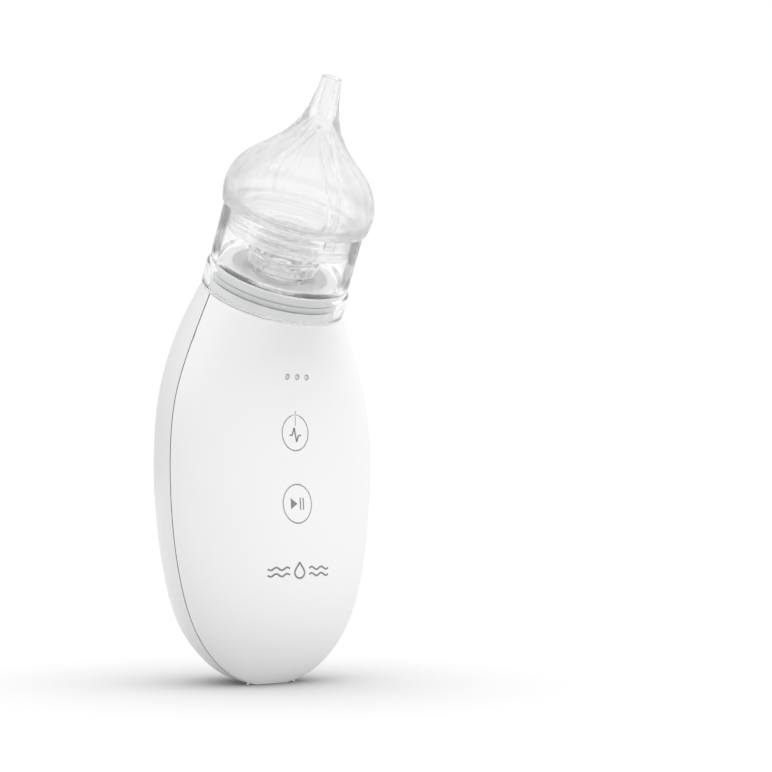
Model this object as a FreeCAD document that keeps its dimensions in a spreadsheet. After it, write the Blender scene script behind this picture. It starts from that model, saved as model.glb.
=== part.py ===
"""Battery nasal aspirator: egg-shaped two-shell body, tilted head with a clear
collection cup and a silicone nozzle, membrane vacuum pump inside.

Frame: +Z up, the front (buttons) faces -Y, the origin is the middle of the flat sole.
The two shells meet in the plane y = part_y. The head axis leans towards -Y.
Head pieces are modelled upright along their own Z and placed on the neck as a last step.
"""
import FreeCAD, Part
import math
import os
import re
from FreeCAD import Placement, Rotation, Vector
import Sketcher

doc = FreeCAD.newDocument("nasal_aspirator")
sheet = doc.addObject("Spreadsheet::Sheet", "sizes")

# ---------------------------------------------------------------- driving sizes (mm, degrees)
SIZES = {
    "wall": 2.2, "seam_gap": 0.12, "part_y": -5.0,
    "neck_height": 101.0, "head_lean": 28.0,
    # front controls: heights of their centres and sizes of their ovals
    "power_height": 65.0, "power_half_width": 4.0, "power_half_height": 4.6,
    "play_height": 46.8, "play_half_width": 4.35, "play_half_height": 5.0,
    "button_gap": 0.12, "button_depth": 2.95, "flange_start": 2.35, "flange_width": 0.8,
    "stem_radius": 1.5, "stem_front": -15.2, "plunger_radius": 1.55, "plunger_low": -13.3, "plunger_high": -12.5,
    "switch_front": -12.9, "switch_well": -12.0, "switch_half_width": 3.0,
    "led_height": 79.4, "led_pitch": 2.9, "led_radius": 0.8, "led_fit": 0.05, "guide_back": -12.6,
    # cup and nozzle, heights measured along the head axis from the neck rim
    "cap_radius": 16.6, "cap_low": -3.0, "cap_floor": 1.5, "spigot_radius": 16.2, "spigot_inner": 13.2,
    "spigot_height": 6.4, "barb_low": -9.5, "barb_radius": 2.0, "air_bore": 1.1,
    "port_radius": 5.6, "port_height": 6.0, "filter_radius": 4.4, "filter_low": 4.65,
    "filter_high": 5.9, "groove_low": 2.5, "groove_high": 4.3, "groove_radius": 14.7,
    "ring_thickness": 0.85, "ring_height": 3.4,
    "cup_low": 0.25, "cup_collar_radius": 19.15, "cup_collar_height": 6.2, "cup_bore_radius": 16.5,
    "cup_floor_low": 6.8, "cup_floor_high": 8.4, "cup_wall_radius": 18.6, "cup_inner_radius": 17.3,
    "cup_height": 23.2, "cup_ring_inner": 5.9, "cup_ring_outer": 7.2, "cup_ring_low": 4.6,
    "chimney_radius": 5.2, "chimney_bore": 3.0, "chimney_height": 13.0,
    "baffle_radius": 9.8, "baffle_inner": 8.6, "baffle_step_radius": 8.4, "baffle_low": 8.7,
    "baffle_step": 12.3, "baffle_height": 15.6, "baffle_ceiling": 14.2, "baffle_dish_radius": 4.6,
    "baffle_dish": 15.0, "sleeve_inner": 5.28, "sleeve_outer": 6.6, "sleeve_low": 9.0,
    "sleeve_high": 11.2, "window_low": 13.1, "window_half_width": 1.5,
    "rim_gap": 0.1, "tip_radius": 19.9, "tip_height": 37.4, "tip_bore_radius": 1.3,
    "tip_bore_length": 10.0, "skirt_length": 6.9, "bead_radius": 17.25, "bead_half_height": 0.7,
    "skirt_radius": 16.75, "skirt_inner": 15.0, "rib_half_width": 1.5, "rib_depth": 1.5,
    "tab_half_width": 1.5, "tab_length": 2.2, "tab_inner": 18.8, "tab_outer": 19.6,
    # pump, upright behind the circuit board
    "pump_y": 6.6, "pump_radius": 12.0, "motor_low": 38.0, "endcap_high": 39.4, "motor_high": 50.0,
    "can_wall": 1.2, "casing_high": 61.0, "casing_floor": 51.2, "casing_inner": 10.4,
    "membrane_high": 62.2, "valve_high": 64.4, "cover_high": 67.4, "nipple_high": 71.5,
    "nipple_radius": 2.0, "outlet_offset": 7.4, "outlet_radius": 1.6, "outlet_bore": 0.8,
    "shaft_radius": 1.0, "bearing_fit": 0.06, "shaft_low": 38.7, "shaft_high": 54.8,
    "armature_radius": 7.0, "armature_low": 41.0, "armature_high": 47.6, "magnet_inner": 7.6,
    "crank_radius": 4.0, "crank_low": 52.2, "crank_high": 55.2, "pin_high": 57.0, "pin_offset": 1.6,
    "pin_radius": 0.8, "rocker_low": 56.0, "arm_low": 57.8, "arm_high": 58.8, "rocker_inner": 2.9,
    "rocker_outer": 4.0, "arm_half_width": 1.1, "chamber_offset": 6.2, "chamber_radius": 3.4,
    "chamber_inner": 2.4, "chamber_floor": 59.8, "pump_screw_offset": 9.9, "pump_screw_radius": 0.8,
    "pump_screw_head": 1.5, "pump_boss_radius": 1.7, "pump_screw_low": 54.0, "damper_radius": 13.5,
    "damper_low": 41.0, "damper_high": 59.0, "tube_radius": 3.1, "fit": 0.05,
    # battery, circuit boards and inner frame
    "cell_radius": 8.2, "cell_length": 34.0, "cell_y": 5.5, "cell_height": 24.4,
    "board_front": -11.6, "board_back": -10.4, "board_half_width": 13.4, "board_low": 26.0,
    "board_high": 88.0, "frame_front": -8.6, "frame_back": -7.4, "frame_half_width": 14.0,
    "frame_low": 12.0, "frame_high": 90.0, "shelf_low": 36.0, "shelf_high": 37.8,
    "saddle_low": 10.5, "saddle_high": 22.0, "board_screw_x": 11.0, "board_screw_low": 30.0, "board_screw_high": 84.0,
    "charge_low": 11.0, "charge_high": 12.2, "usb_height": 13.8, "usb_half_width": 4.47,
    "usb_half_height": 1.6, "usb_front": 10.2, "usb_back": 17.6, "usb_shell": 0.35,
    "lead_radius": 0.55, "lead_height": 34.3, "motor_lead_x": 3.0, "cell_lead_x": 12.6,
    # port flap at the lower back
    "flap_low": 9.4, "flap_high": 19.4, "flap_half_width": 7.4, "flap_depth": 1.5, "flap_gap": 0.2,
    # screws that hold the shells together, entered from the back
    "boss_radius": 3.5, "front_boss_radius": 2.9, "screw_radius": 1.1, "screw_head_radius": 2.2,
    "screw_seat": 4.0, "screw_head_height": 1.7, "screw_tip": -12.1,
    "low_screw_x": 19.0, "low_screw_height": 38.0, "high_screw_x": 17.0, "high_screw_height": 84.0,
}

# Cross-sections of the body, bottom to top. Each is two half ellipses that share a width and
# meet on the parting plane: height, half width, depth in front, depth behind, tilt.
STATIONS = {
    "sole": (0, 5, 0.8, 10, 0),
    "foot": (0.9, 8.2, 2.4, 13.4, 0),
    "heel": (3.0, 12.6, 5.3, 17.6, 0),
    "bilge": (7.2, 17.5, 8.8, 22.2, 0),
    "hip": (14, 22.3, 12.0, 27.3, 0),
    "belly": (26, 26.7, 13.8, 30.2, 0),
    "waist": (42, 29.4, 13.1, 32, 0),
    "chest": (58, 30.2, 11.9, 32.8, 2),
    "shoulder": (74, 28.8, 11.8, 31.5, 13),
    "nape": (88, 24.3, 14.2, 26.6, 23.5),
    "collar": (101, 18.9, 18.9, 18.9, 28),
}
STATION_FIELDS = ("height", "half_width", "front_depth", "back_depth", "tilt")
# The wall is measured square to the surface, so a level cut through a sloping wall is wider.
WALL_STRETCH = {"heel": 2.2, "bilge": 1.5, "hip": 1.2, "belly": 1.06, "waist": 1.0,
                "chest": 1.0, "shoulder": 1.0, "nape": 1.06, "collar": 1.0}

for station, values in STATIONS.items():
    for field, value in zip(STATION_FIELDS, values):
        SIZES[station + "_" + field] = value
for row, (alias, value) in enumerate(SIZES.items(), start=1):
    sheet.set("A%d" % row, alias)
    sheet.set("B%d" % row, str(value))
    sheet.setAlias("B%d" % row, alias)
doc.recompute()


def size(alias):
    return float(sheet.get(alias))


SUB_PARTS = []
HEAD = Placement(Vector(0, size("part_y"), size("neck_height")),
                 Rotation(Vector(1, 0, 0), size("head_lean")))
UP, ALONG_X, ALONG_Y = Rotation(), Rotation(Vector(0, 1, 0), 90), Rotation(Vector(1, 0, 0), -90)
TOWARDS_FRONT = Rotation(Vector(1, 0, 0), 90)
BIG = 80.0


# ---------------------------------------------------------------- helpers
def on_sheet(text):
    """An expression written with bare cell names, made ready for FreeCAD."""
    return re.sub(r"[a-z][a-z_]+", lambda word: "sizes." + word.group(), text)


def bind(item, prop, value):
    """A string is an expression on the sheet, a number is set as it is."""
    if isinstance(value, str):
        item.setExpression(prop, on_sheet(value))
    else:
        setattr(item, prop, value)


def evaluate(value):
    """The number that an expression on the sheet gives now."""
    if isinstance(value, str):
        return float(sheet.evalExpression(value))
    return float(value)


def make(kind, name, at=(0, 0, 0), turn=UP, **sizes):
    item = doc.addObject(kind, name)
    item.Placement = Placement(Vector(*[evaluate(v) for v in at]), turn)
    for axis, value in zip("xyz", at):
        if isinstance(value, str):
            item.setExpression("Placement.Base." + axis, on_sheet(value))
    for prop, value in sizes.items():
        bind(item, prop, value)
    return item


def box(name, low, high):
    """A box between two corners; each number may be an expression."""
    low, high = [str(v) for v in low], [str(v) for v in high]
    spans = ["(%s) - (%s)" % pair for pair in zip(high, low)]
    return make("Part::Box", name, low, Length=spans[0], Width=spans[1], Height=spans[2])


def rod(name, at, radius, length, turn=UP):
    return make("Part::Cylinder", name, at, turn, Radius=radius, Height=length)


def fuse(name, *items):
    joined = doc.addObject("Part::MultiFuse", name)
    joined.Shapes = list(items)
    joined.Refine = True
    return joined


def cut(name, base, *tools):
    """One cut with all tools joined first."""
    result = doc.addObject("Part::Cut", name)
    result.Base = base
    result.Tool = tools[0] if len(tools) == 1 else fuse(name + "_tools", *tools)
    return result


def common(name, *items):
    shared = doc.addObject("Part::MultiCommon", name)
    shared.Shapes = list(items)
    return shared


def group(name, *items):
    """Separate solids that share one node."""
    bundle = doc.addObject("Part::Compound", name)
    bundle.Links = list(items)
    return bundle


def finish(item, label, on_head=False):
    """Names a sub-part; head pieces get the neck's placement here."""
    item.Label = label
    if on_head:
        item.Placement = HEAD
    SUB_PARTS.append(item)
    return item


def turned(name, outline):
    """A body turned about Z from a closed outline of (radius, height) expressions."""
    body = doc.addObject("PartDesign::Body", name)
    plane = [f for f in body.Origin.OriginFeatures if f.Role == "XZ_Plane"][0]
    axis = [f for f in body.Origin.OriginFeatures if f.Role == "Z_Axis"][0]
    sketch = body.newObject("Sketcher::SketchObject", name + "_outline")
    sketch.AttachmentSupport = [(plane, "")]
    sketch.MapMode = "FlatFace"
    values = [(evaluate(radius), evaluate(height)) for radius, height in outline]
    corners = [Vector(radius, height, 0) for radius, height in values]
    for start, end in zip(corners, corners[1:] + corners[:1]):
        sketch.addGeometry(Part.LineSegment(start, end), False)
    for i in range(len(corners)):
        sketch.addConstraint(Sketcher.Constraint("Coincident", i, 2, (i + 1) % len(corners), 1))
    for i, (radius, height) in enumerate(outline):
        for kind, value, wanted in (("DistanceX", values[i][0], radius), ("DistanceY", values[i][1], height)):
            if abs(value) < 1e-9:
                sketch.addConstraint(Sketcher.Constraint("PointOnObject", i, 1, -2 if kind == "DistanceX" else -1))
                continue
            number = sketch.addConstraint(Sketcher.Constraint(kind, -1, 1, i, 1, value))
            if isinstance(wanted, str):
                sketch.setExpression("Constraints[%d]" % number, on_sheet(wanted))
    spin = body.newObject("PartDesign::Revolution", name + "_turned")
    spin.Profile = sketch
    spin.ReferenceAxis = (axis, [""])
    spin.Angle = 360.0
    body.Tip = spin
    return body


def tube_path(points, bend=0.45):
    """Straight runs joined by tangent arcs, each as large as its two runs allow."""
    edges, start = [], points[0]
    for before, corner, after in zip(points, points[1:], points[2:]):
        into, out = (corner - before).normalize(), (after - corner).normalize()
        turn = into.getAngle(out)
        reach = bend * min((corner - before).Length, (after - corner).Length)
        radius = reach / math.tan(turn / 2)
        arc_start, arc_end = corner - into * reach, corner + out * reach
        middle = corner + (out - into).normalize() * (radius / math.cos(turn / 2) - radius)
        edges.append(Part.LineSegment(start, arc_start).toShape())
        edges.append(Part.Arc(arc_start, middle, arc_end).toShape())
        start = arc_end
    edges.append(Part.LineSegment(start, points[-1]).toShape())
    return Part.Wire(edges)


def tube(points, radius):
    path = tube_path(points)
    profile = Part.Wire(Part.makeCircle(radius, points[0], points[1] - points[0]))
    return path.makePipeShell([profile], True, True)


def oval(name, half_width, half_height, height, low=-30, high=-5):
    """An upright oval bar that runs front to back, from y = low to y = high."""
    turn = Rotation(Vector(0, 0, 1), Vector(1, 0, 0), Vector(0, 1, 0), "XYZ")
    edge = make("Part::Ellipse", name + "_edge", (0, low, height), turn,
                MajorRadius=half_height, MinorRadius=half_width)
    bar = doc.addObject("Part::Extrusion", name)
    bar.Base, bar.Dir, bar.Solid = edge, Vector(0, 1, 0), True
    bind(bar, "LengthFwd", "(%s) - (%s)" % (high, low))
    return bar


def stadium(name, half_width, half_height, height, low, high):
    """A flat bar with round ends that runs front to back."""
    flat, length = "%s - (%s)" % (half_width, half_height), "(%s) - (%s)" % (high, low)
    ends = [rod(name + side, (sign + "(" + flat + ")", low, height), half_height, length, ALONG_Y)
            for side, sign in (("_left", "-"), ("_right", ""))]
    middle = box(name + "_middle", ("-(%s)" % flat, low, "%s - (%s)" % (height, half_height)),
                 (flat, high, "%s + %s" % (height, half_height)))
    return fuse(name, middle, *ends)


def rounded(name, block, radius, along):
    """The block with its four edges along one axis rounded."""
    doc.recompute()
    result = doc.addObject("Part::Fillet", name)
    result.Base = block
    result.Edges = [(i, radius, radius) for i, edge in enumerate(block.Shape.Edges, start=1)
                    if edge.tangentAt(edge.FirstParameter).cross(along).Length < 1e-6]
    return result


def shifted(name, item, back):
    """The same shape moved back by a distance along Y."""
    moved = group(name, item)
    moved.setExpression("Placement.Base.y", on_sheet(back))
    return moved


# ---------------------------------------------------------------- body shells
def section(name, station, side, inner):
    """A little more than half an ellipse, closed by a chord beyond the parting plane."""
    shrink = size("wall") * WALL_STRETCH[station] if inner else 0
    half_width = size(station + "_half_width") - shrink
    depth = size("%s_%s_depth" % (station, side)) - shrink
    sign = 1 if side == "back" else -1
    overlap = math.radians(12)
    long_half, short_half = max(half_width, depth), min(half_width, depth)
    curve = Part.Ellipse(Vector(), long_half, short_half)
    middle = math.pi / 2 * sign
    if depth > half_width:
        curve.rotate(Placement(Vector(), Rotation(Vector(0, 0, 1), 90)))
        middle -= math.pi / 2
    arc = curve.toShape(middle - math.pi / 2 - overlap, middle + math.pi / 2 + overlap)
    start, end = arc.valueAt(arc.FirstParameter), arc.valueAt(arc.LastParameter)
    outline = doc.addObject("Part::Feature", name)
    outline.Shape = Part.Wire([arc, Part.makeLine(end, start)])
    rise = Vector(0, size("part_y"), size(station + "_height"))
    if inner and station == "collar":
        # The cavity runs on past the rim so that the neck is open.
        rise = HEAD.multVec(Vector(0, 0, 1))
    outline.Placement = Placement(rise, Rotation(Vector(1, 0, 0), size(station + "_tilt")))
    return outline


def body_loft(side, inner):
    name = side + ("_inner" if inner else "_outer")
    stations = WALL_STRETCH if inner else STATIONS
    loft = doc.addObject("Part::Loft", name)
    loft.Sections = [section(name + "_" + station, station, side, inner) for station in stations]
    loft.Solid = True
    return loft


front_outer, front_inner = body_loft("front", False), body_loft("front", True)
back_outer, back_inner = body_loft("back", False), body_loft("back", True)
front_side = box("front_side", (-BIG, -BIG, -BIG), (BIG, "part_y - seam_gap / 2", 2 * BIG))
back_side = box("back_side", (-BIG, "part_y + seam_gap / 2", -BIG), (BIG, BIG, 2 * BIG))

SHELL_SCREWS = [(sign + level + "_screw_x", level + "_screw_height", level + side)
                for level in ("low", "high") for side, sign in (("_left", "-"), ("_right", ""))]


def at_shell_screws(name, radius, low, high):
    return [rod(name + "_" + spot, (x, low, z), radius, "(%s) - (%s)" % (high, low), ALONG_Y)
            for x, z, spot in SHELL_SCREWS]


def front_cover():
    skin = cut("front_skin", common("front_solid", front_outer, front_side), front_inner)
    posts = common("front_posts", front_outer,
                   fuse("front_rods", *at_shell_screws("front_rod", "front_boss_radius", -BIG, "frame_front")))
    holes = at_shell_screws("front_pilot", "screw_radius + fit", "screw_tip - 0.3", "frame_front")
    for key in ("power", "play"):
        holes.append(oval(key + "_hole", key + "_half_width + button_gap", key + "_half_height + button_gap",
                          key + "_height"))
    holes += light_rods("led_hole", "led_radius + led_fit", -10)
    finish(cut("front_cover_body", fuse("front_joined", skin, posts), *holes), "front_cover")


def light_rods(name, radius, back):
    return [rod(name + str(i + 1), ("%d * led_pitch" % i, -BIG / 2, "led_height"), radius,
                "(%s) + %g" % (back, BIG / 2), ALONG_Y) for i in (-1, 0, 1)]


def rear_housing():
    skin = cut("back_skin", common("back_solid", back_outer, back_side), back_inner)
    posts = common("back_posts", back_outer,
                   fuse("back_rods", *at_shell_screws("back_rod", "boss_radius", "frame_back", BIG)))
    holes = at_shell_screws("back_clearance", "screw_radius + fit", "frame_back", "screw_seat")
    holes += at_shell_screws("back_counterbore", "screw_head_radius + 0.25", "screw_seat", BIG)
    holes.append(stadium("port_hole", 5.2, 2.35, "usb_height", 10, BIG))
    holes.append(cut("flap_recess", flap_block("recess", "flap_gap"),
                     shifted("recess_floor", back_outer, "-flap_depth - 0.15")))
    for i in (-2, -1, 0, 1, 2):
        holes.append(rod("vent_%d" % (i + 2), (2.4 * i, 15, 28.5), 0.6, BIG, ALONG_Y))
    finish(cut("rear_housing_body", fuse("back_joined", skin, posts), *holes), "rear_housing")


def flap_block(name, grow):
    block = box(name + "_box", ("-flap_half_width - " + grow, 8, "flap_low - " + grow),
                ("flap_half_width + " + grow, 40, "flap_high + " + grow))
    return rounded(name + "_block", block, 2.6, Vector(0, 1, 0))


def port_cover():
    plate = cut("flap_plate", common("flap_solid", back_outer, flap_block("flap", "0")),
                shifted("flap_inside", back_outer, "-flap_depth"))
    shape = stadium("plug_bar", 4.6, 1.5, "usb_height", 10, BIG)
    plug = cut("plug_tip", common("plug_solid", shape, shifted("plug_near", back_outer, "-flap_depth")),
               shifted("plug_far", back_outer, "-flap_depth - 1.2"))
    finish(fuse("port_cover_body", plate, plug), "port_cover")


def button(key):
    """A cap that follows the shell, its retaining flange and the stem behind it."""
    half_width, half_height, height = key + "_half_width", key + "_half_height", key + "_height"
    cap = common(key + "_cap", front_outer, oval(key + "_oval", half_width, half_height, height))
    wide = oval(key + "_wide", half_width + " + flange_width", half_height + " + flange_width", height)
    flange = common(key + "_flange", wide, shifted(key + "_flange_face", front_outer, "flange_start"))
    solid = cut(key + "_solid", fuse(key + "_joined", cap, flange),
                shifted(key + "_back_face", front_outer, "button_depth"))
    stem = rod(key + "_stem", (0, "stem_front", height), "stem_radius",
               "plunger_low - (stem_front)", ALONG_Y)
    finish(fuse(key + "_button_body", solid, stem), key + "_button")
    finish(rod(key + "_plunger_body", (0, "plunger_low", height), "plunger_radius",
               "plunger_high - plunger_low", ALONG_Y), key + "_switch_plunger")


def switch(key):
    half, height = "switch_half_width", key + "_height"
    block = box(key + "_switch_box", ("-" + half, "switch_front", "%s - %s" % (height, half)),
                (half, "board_front", "%s + %s" % (height, half)))
    well = rod(key + "_well", (0, -20, height), "plunger_radius + 0.1", "switch_well + 20", ALONG_Y)
    finish(cut(key + "_switch_body", rounded(key + "_switch_block", block, 0.5, Vector(0, 1, 0)), well),
           key + "_tact_switch")


# ---------------------------------------------------------------- head
def neck_cap():
    finish(turned("neck_cap_body", [
        ("air_bore", "barb_low"), ("barb_radius", "barb_low"), ("barb_radius", "cap_low"),
        ("cap_radius", "cap_low"), ("cap_radius", 0), ("spigot_radius", 0),
        ("spigot_radius", "groove_low"), ("groove_radius", "groove_low"),
        ("groove_radius", "groove_high"), ("spigot_radius", "groove_high"),
        ("spigot_radius", "spigot_height"), ("spigot_inner", "spigot_height"),
        ("spigot_inner", "cap_floor"), ("port_radius", "cap_floor"), ("port_radius", "port_height"),
        ("filter_radius + 0.1", "port_height"), ("filter_radius + 0.1", "filter_low - 0.05"),
        ("air_bore", "filter_low - 0.05")]), "neck_cap", on_head=True)
    ring = make("Part::Torus", "spigot_ring_body", (0, 0, "ring_height"),
                Radius1="cup_bore_radius - fit - ring_thickness", Radius2="ring_thickness")
    finish(group("spigot_ring_placed", ring), "spigot_o_ring", on_head=True)
    disc = rod("filter_body", (0, 0, "filter_low"), "filter_radius", "filter_high - filter_low")
    finish(group("filter_placed", disc), "filter_disc", on_head=True)


def collection_cup():
    finish(turned("cup_body", [
        ("cup_bore_radius", "cup_low"), ("cup_collar_radius", "cup_low"),
        ("cup_collar_radius", "cup_collar_height"), ("cup_wall_radius", "cup_collar_height + 0.5"),
        ("cup_wall_radius", "cup_height"), ("cup_inner_radius", "cup_height"),
        ("cup_inner_radius", "cup_floor_high"), ("chimney_radius", "cup_floor_high"),
        ("chimney_radius", "chimney_height"), ("chimney_bore", "chimney_height"),
        ("chimney_bore", "cup_floor_low"), ("cup_ring_inner", "cup_floor_low"),
        ("cup_ring_inner", "cup_ring_low"), ("cup_ring_outer", "cup_ring_low"),
        ("cup_ring_outer", "cup_floor_low"), ("cup_bore_radius", "cup_floor_low")]),
        "collection_cup", on_head=True)


def baffle_cap():
    shell = turned("baffle_turned_body", [
        ("sleeve_inner", "sleeve_low"), ("sleeve_outer", "sleeve_low"), ("sleeve_outer", "sleeve_high"),
        ("baffle_inner", "sleeve_high"), ("baffle_inner", "baffle_low"), ("baffle_radius", "baffle_low"),
        ("baffle_radius", "baffle_step"), ("baffle_step_radius", "baffle_step"),
        ("baffle_step_radius", "baffle_height"), ("baffle_dish_radius", "baffle_height"),
        ("baffle_dish_radius", "baffle_dish"), (0, "baffle_dish"), (0, "baffle_ceiling"),
        ("sleeve_inner", "baffle_ceiling")])
    across = box("window_x", (-12, "-window_half_width", "window_low"),
                 (12, "window_half_width", "baffle_ceiling"))
    along = box("window_y", ("-window_half_width", -12, "window_low"),
                ("window_half_width", 12, "baffle_ceiling"))
    finish(cut("baffle_cap_body", shell, across, along), "baffle_cap", on_head=True)


# Outer and inner outlines of the nozzle bulb: radius and height as shares of the largest
# radius and of the full height above the flange, from the flange up to the open end.
TIP_OUTSIDE = [(0.97, 0.0), (1.0, 0.10), (0.955, 0.24), (0.75, 0.39), (0.467, 0.527),
               (0.28, 0.666), (0.19, 0.80), (0.145, 0.93), (0.125, 1.0)]
TIP_INSIDE = [(0.754, 0.0), (0.855, 0.07), (0.865, 0.18), (0.735, 0.315), (0.515, 0.425),
              (0.315, 0.53), (0.165, 0.64)]


def nozzle_tip():
    """A soft bulb with a stubby tube, a skirt with two sealing beads, ribs and an index tab."""
    radius, height, bore = size("tip_radius"), size("tip_height"), size("tip_bore_radius")
    bottom, skirt, bead = -size("skirt_length"), size("skirt_radius"), size("bead_radius")
    bore_low = height - size("tip_bore_length")
    outside = [Vector(r * radius, 0, z * height) for r, z in TIP_OUTSIDE]
    inside = [Vector(r * radius, 0, z * height) for r, z in TIP_INSIDE] + [Vector(bore, 0, bore_low)]

    def curve(points):
        spline = Part.BSplineCurve()
        spline.interpolate(points)
        return spline.toShape()

    def line(*points):
        return Part.makePolygon([Vector(*p) for p in points]).Edges

    edges = [curve(outside)]
    edges += line((outside[-1].x, 0, height), (bore, 0, height), (bore, 0, bore_low))
    edges.append(curve(inside))
    inner = size("skirt_inner")
    edges += line((inside[0].x, 0, 0), (inner, 0, 0), (inner, 0, bottom), (skirt - 0.5, 0, bottom),
                  (skirt, 0, bottom + 0.5))
    here, half = bottom + 0.5, size("bead_half_height")
    for middle in (bottom * 0.68, bottom * 0.34):
        edges += line((skirt, 0, here), (skirt, 0, middle - half))
        edges.append(Part.Arc(Vector(skirt, 0, middle - half), Vector(bead, 0, middle),
                              Vector(skirt, 0, middle + half)).toShape())
        here = middle + half
    edges += line((skirt, 0, here), (skirt, 0, 0), tuple(outside[0]))
    bulb = spun(edges)
    cavity_edge = [Vector(inner, 0, 0)] + [Vector(p.x, 0, p.z) for p in inside[1:]]
    ribs = [rib(side, cavity_edge) for side in (-1, 1)]
    tab = Part.makeBox(2 * size("tab_half_width"), size("tab_outer") - size("tab_inner"),
                       size("tab_length") + 0.4,
                       Vector(-size("tab_half_width"), -size("tab_outer"), -size("tab_length")))
    tip = doc.addObject("Part::Feature", "nozzle_tip_body")
    shape = bulb.fuse(ribs + [tab]).removeSplitter()
    shape.translate(Vector(0, 0, size("cup_height") + size("rim_gap")))
    tip.Shape = shape if shape.ShapeType == "Solid" else shape.Solids[0]
    finish(tip, "nozzle_tip")
    tip.Placement = HEAD * tip.Placement


def spun(edges):
    wire = Part.Wire(Part.__sortEdges__(edges))
    return Part.Face(wire).revolve(Vector(0, 0, 0), Vector(0, 0, 1), 360)


def rib(side, cavity_edge):
    """An upright rib on the inside of the bulb, in front (-1) or behind (1)."""
    half, depth = size("rib_half_width"), size("rib_depth")

    def cavity(inset, low):
        points = [Vector(max(p.x - inset, 0.4), 0, p.z) for p in cavity_edge]
        spline = Part.BSplineCurve()
        spline.interpolate(points)
        foot, top = points[0], points[-1]
        outline = Part.makePolygon([top, Vector(0, 0, top.z), Vector(0, 0, low), Vector(foot.x, 0, low), foot])
        return spun([spline.toShape()] + (outline.Edges if low < foot.z else outline.Edges[:2] + [
            Part.makeLine(Vector(0, 0, foot.z), foot)]))

    slab = Part.makeBox(2 * half, 30, 23, Vector(-half, -30 if side < 0 else 0, 0.8))
    return cavity(-0.4, 0).common(slab).cut(cavity(depth, -1))


# ---------------------------------------------------------------- pump, upright at pump_y
def pump_rod(name, radius, low, high, x=0, y=0):
    return rod(name, (x, "pump_y + (%s)" % y, low), radius, "(%s) - (%s)" % (high, low))


def around(name, offset, radius, low, high, count=3, start=30):
    """Upright rods on a circle about the pump axis."""
    rods = []
    for i in range(count):
        angle = math.radians(start + 360 / count * i)
        rods.append(pump_rod("%s%d" % (name, i + 1), radius, low, high,
                             "(%s) * %.6f" % (offset, math.cos(angle)), "(%s) * %.6f" % (offset, math.sin(angle))))
    return rods


def motor():
    can = pump_rod("can_outside", "pump_radius", "endcap_high", "motor_high")
    hollow = pump_rod("can_inside", "pump_radius - can_wall", "endcap_high - 1", "motor_high - can_wall")
    hole = pump_rod("can_bearing", "shaft_radius + bearing_fit", "motor_high - 3", "motor_high + 1")
    finish(cut("motor_can_body", can, hollow, hole), "motor_can")
    cap = pump_rod("endcap_disc", "pump_radius - 0.1", "motor_low", "endcap_high - 0.02")
    tabs = [box("terminal%d" % side, ("%d * motor_lead_x - 0.9" % side, "pump_y - 0.25", "motor_low - 1.4"),
                ("%d * motor_lead_x + 0.9" % side, "pump_y + 0.25", "motor_low + 0.5")) for side in (-1, 1)]
    seat = pump_rod("endcap_bearing", "shaft_radius + bearing_fit", "shaft_low - 0.2", "endcap_high + 1")
    finish(cut("endcap_body", fuse("endcap_joined", cap, *tabs), seat), "motor_end_cap")
    magnet = pump_rod("magnet_outside", "pump_radius - can_wall - fit", "armature_low", "armature_high")
    finish(cut("magnet_body", magnet, pump_rod("magnet_inside", "magnet_inner", "armature_low - 1",
                                               "armature_high + 1")), "motor_magnet_ring")
    finish(pump_rod("shaft_body", "shaft_radius", "shaft_low", "shaft_high"), "motor_shaft")
    core = pump_rod("core", "armature_radius", "armature_low", "armature_high")
    slots = around("slot", "armature_radius", 1.3, "armature_low - 1", "armature_high + 1", 3, 0)
    bore = pump_rod("core_bore", "shaft_radius + 0.01", "armature_low - 1", "armature_high + 1")
    finish(cut("armature_body", core, bore, *slots), "motor_armature")
    hub = pump_rod("crank_disc", "crank_radius", "crank_low", "crank_high")
    pin = pump_rod("crank_pin", "pin_radius", "crank_high - 0.5", "pin_high", "pin_offset")
    hub_bore = pump_rod("crank_bore", "shaft_radius + 0.01", "crank_low - 1", "shaft_high + 0.02")
    finish(cut("crank_body", fuse("crank_joined", hub, pin), hub_bore), "crank_hub")


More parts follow.
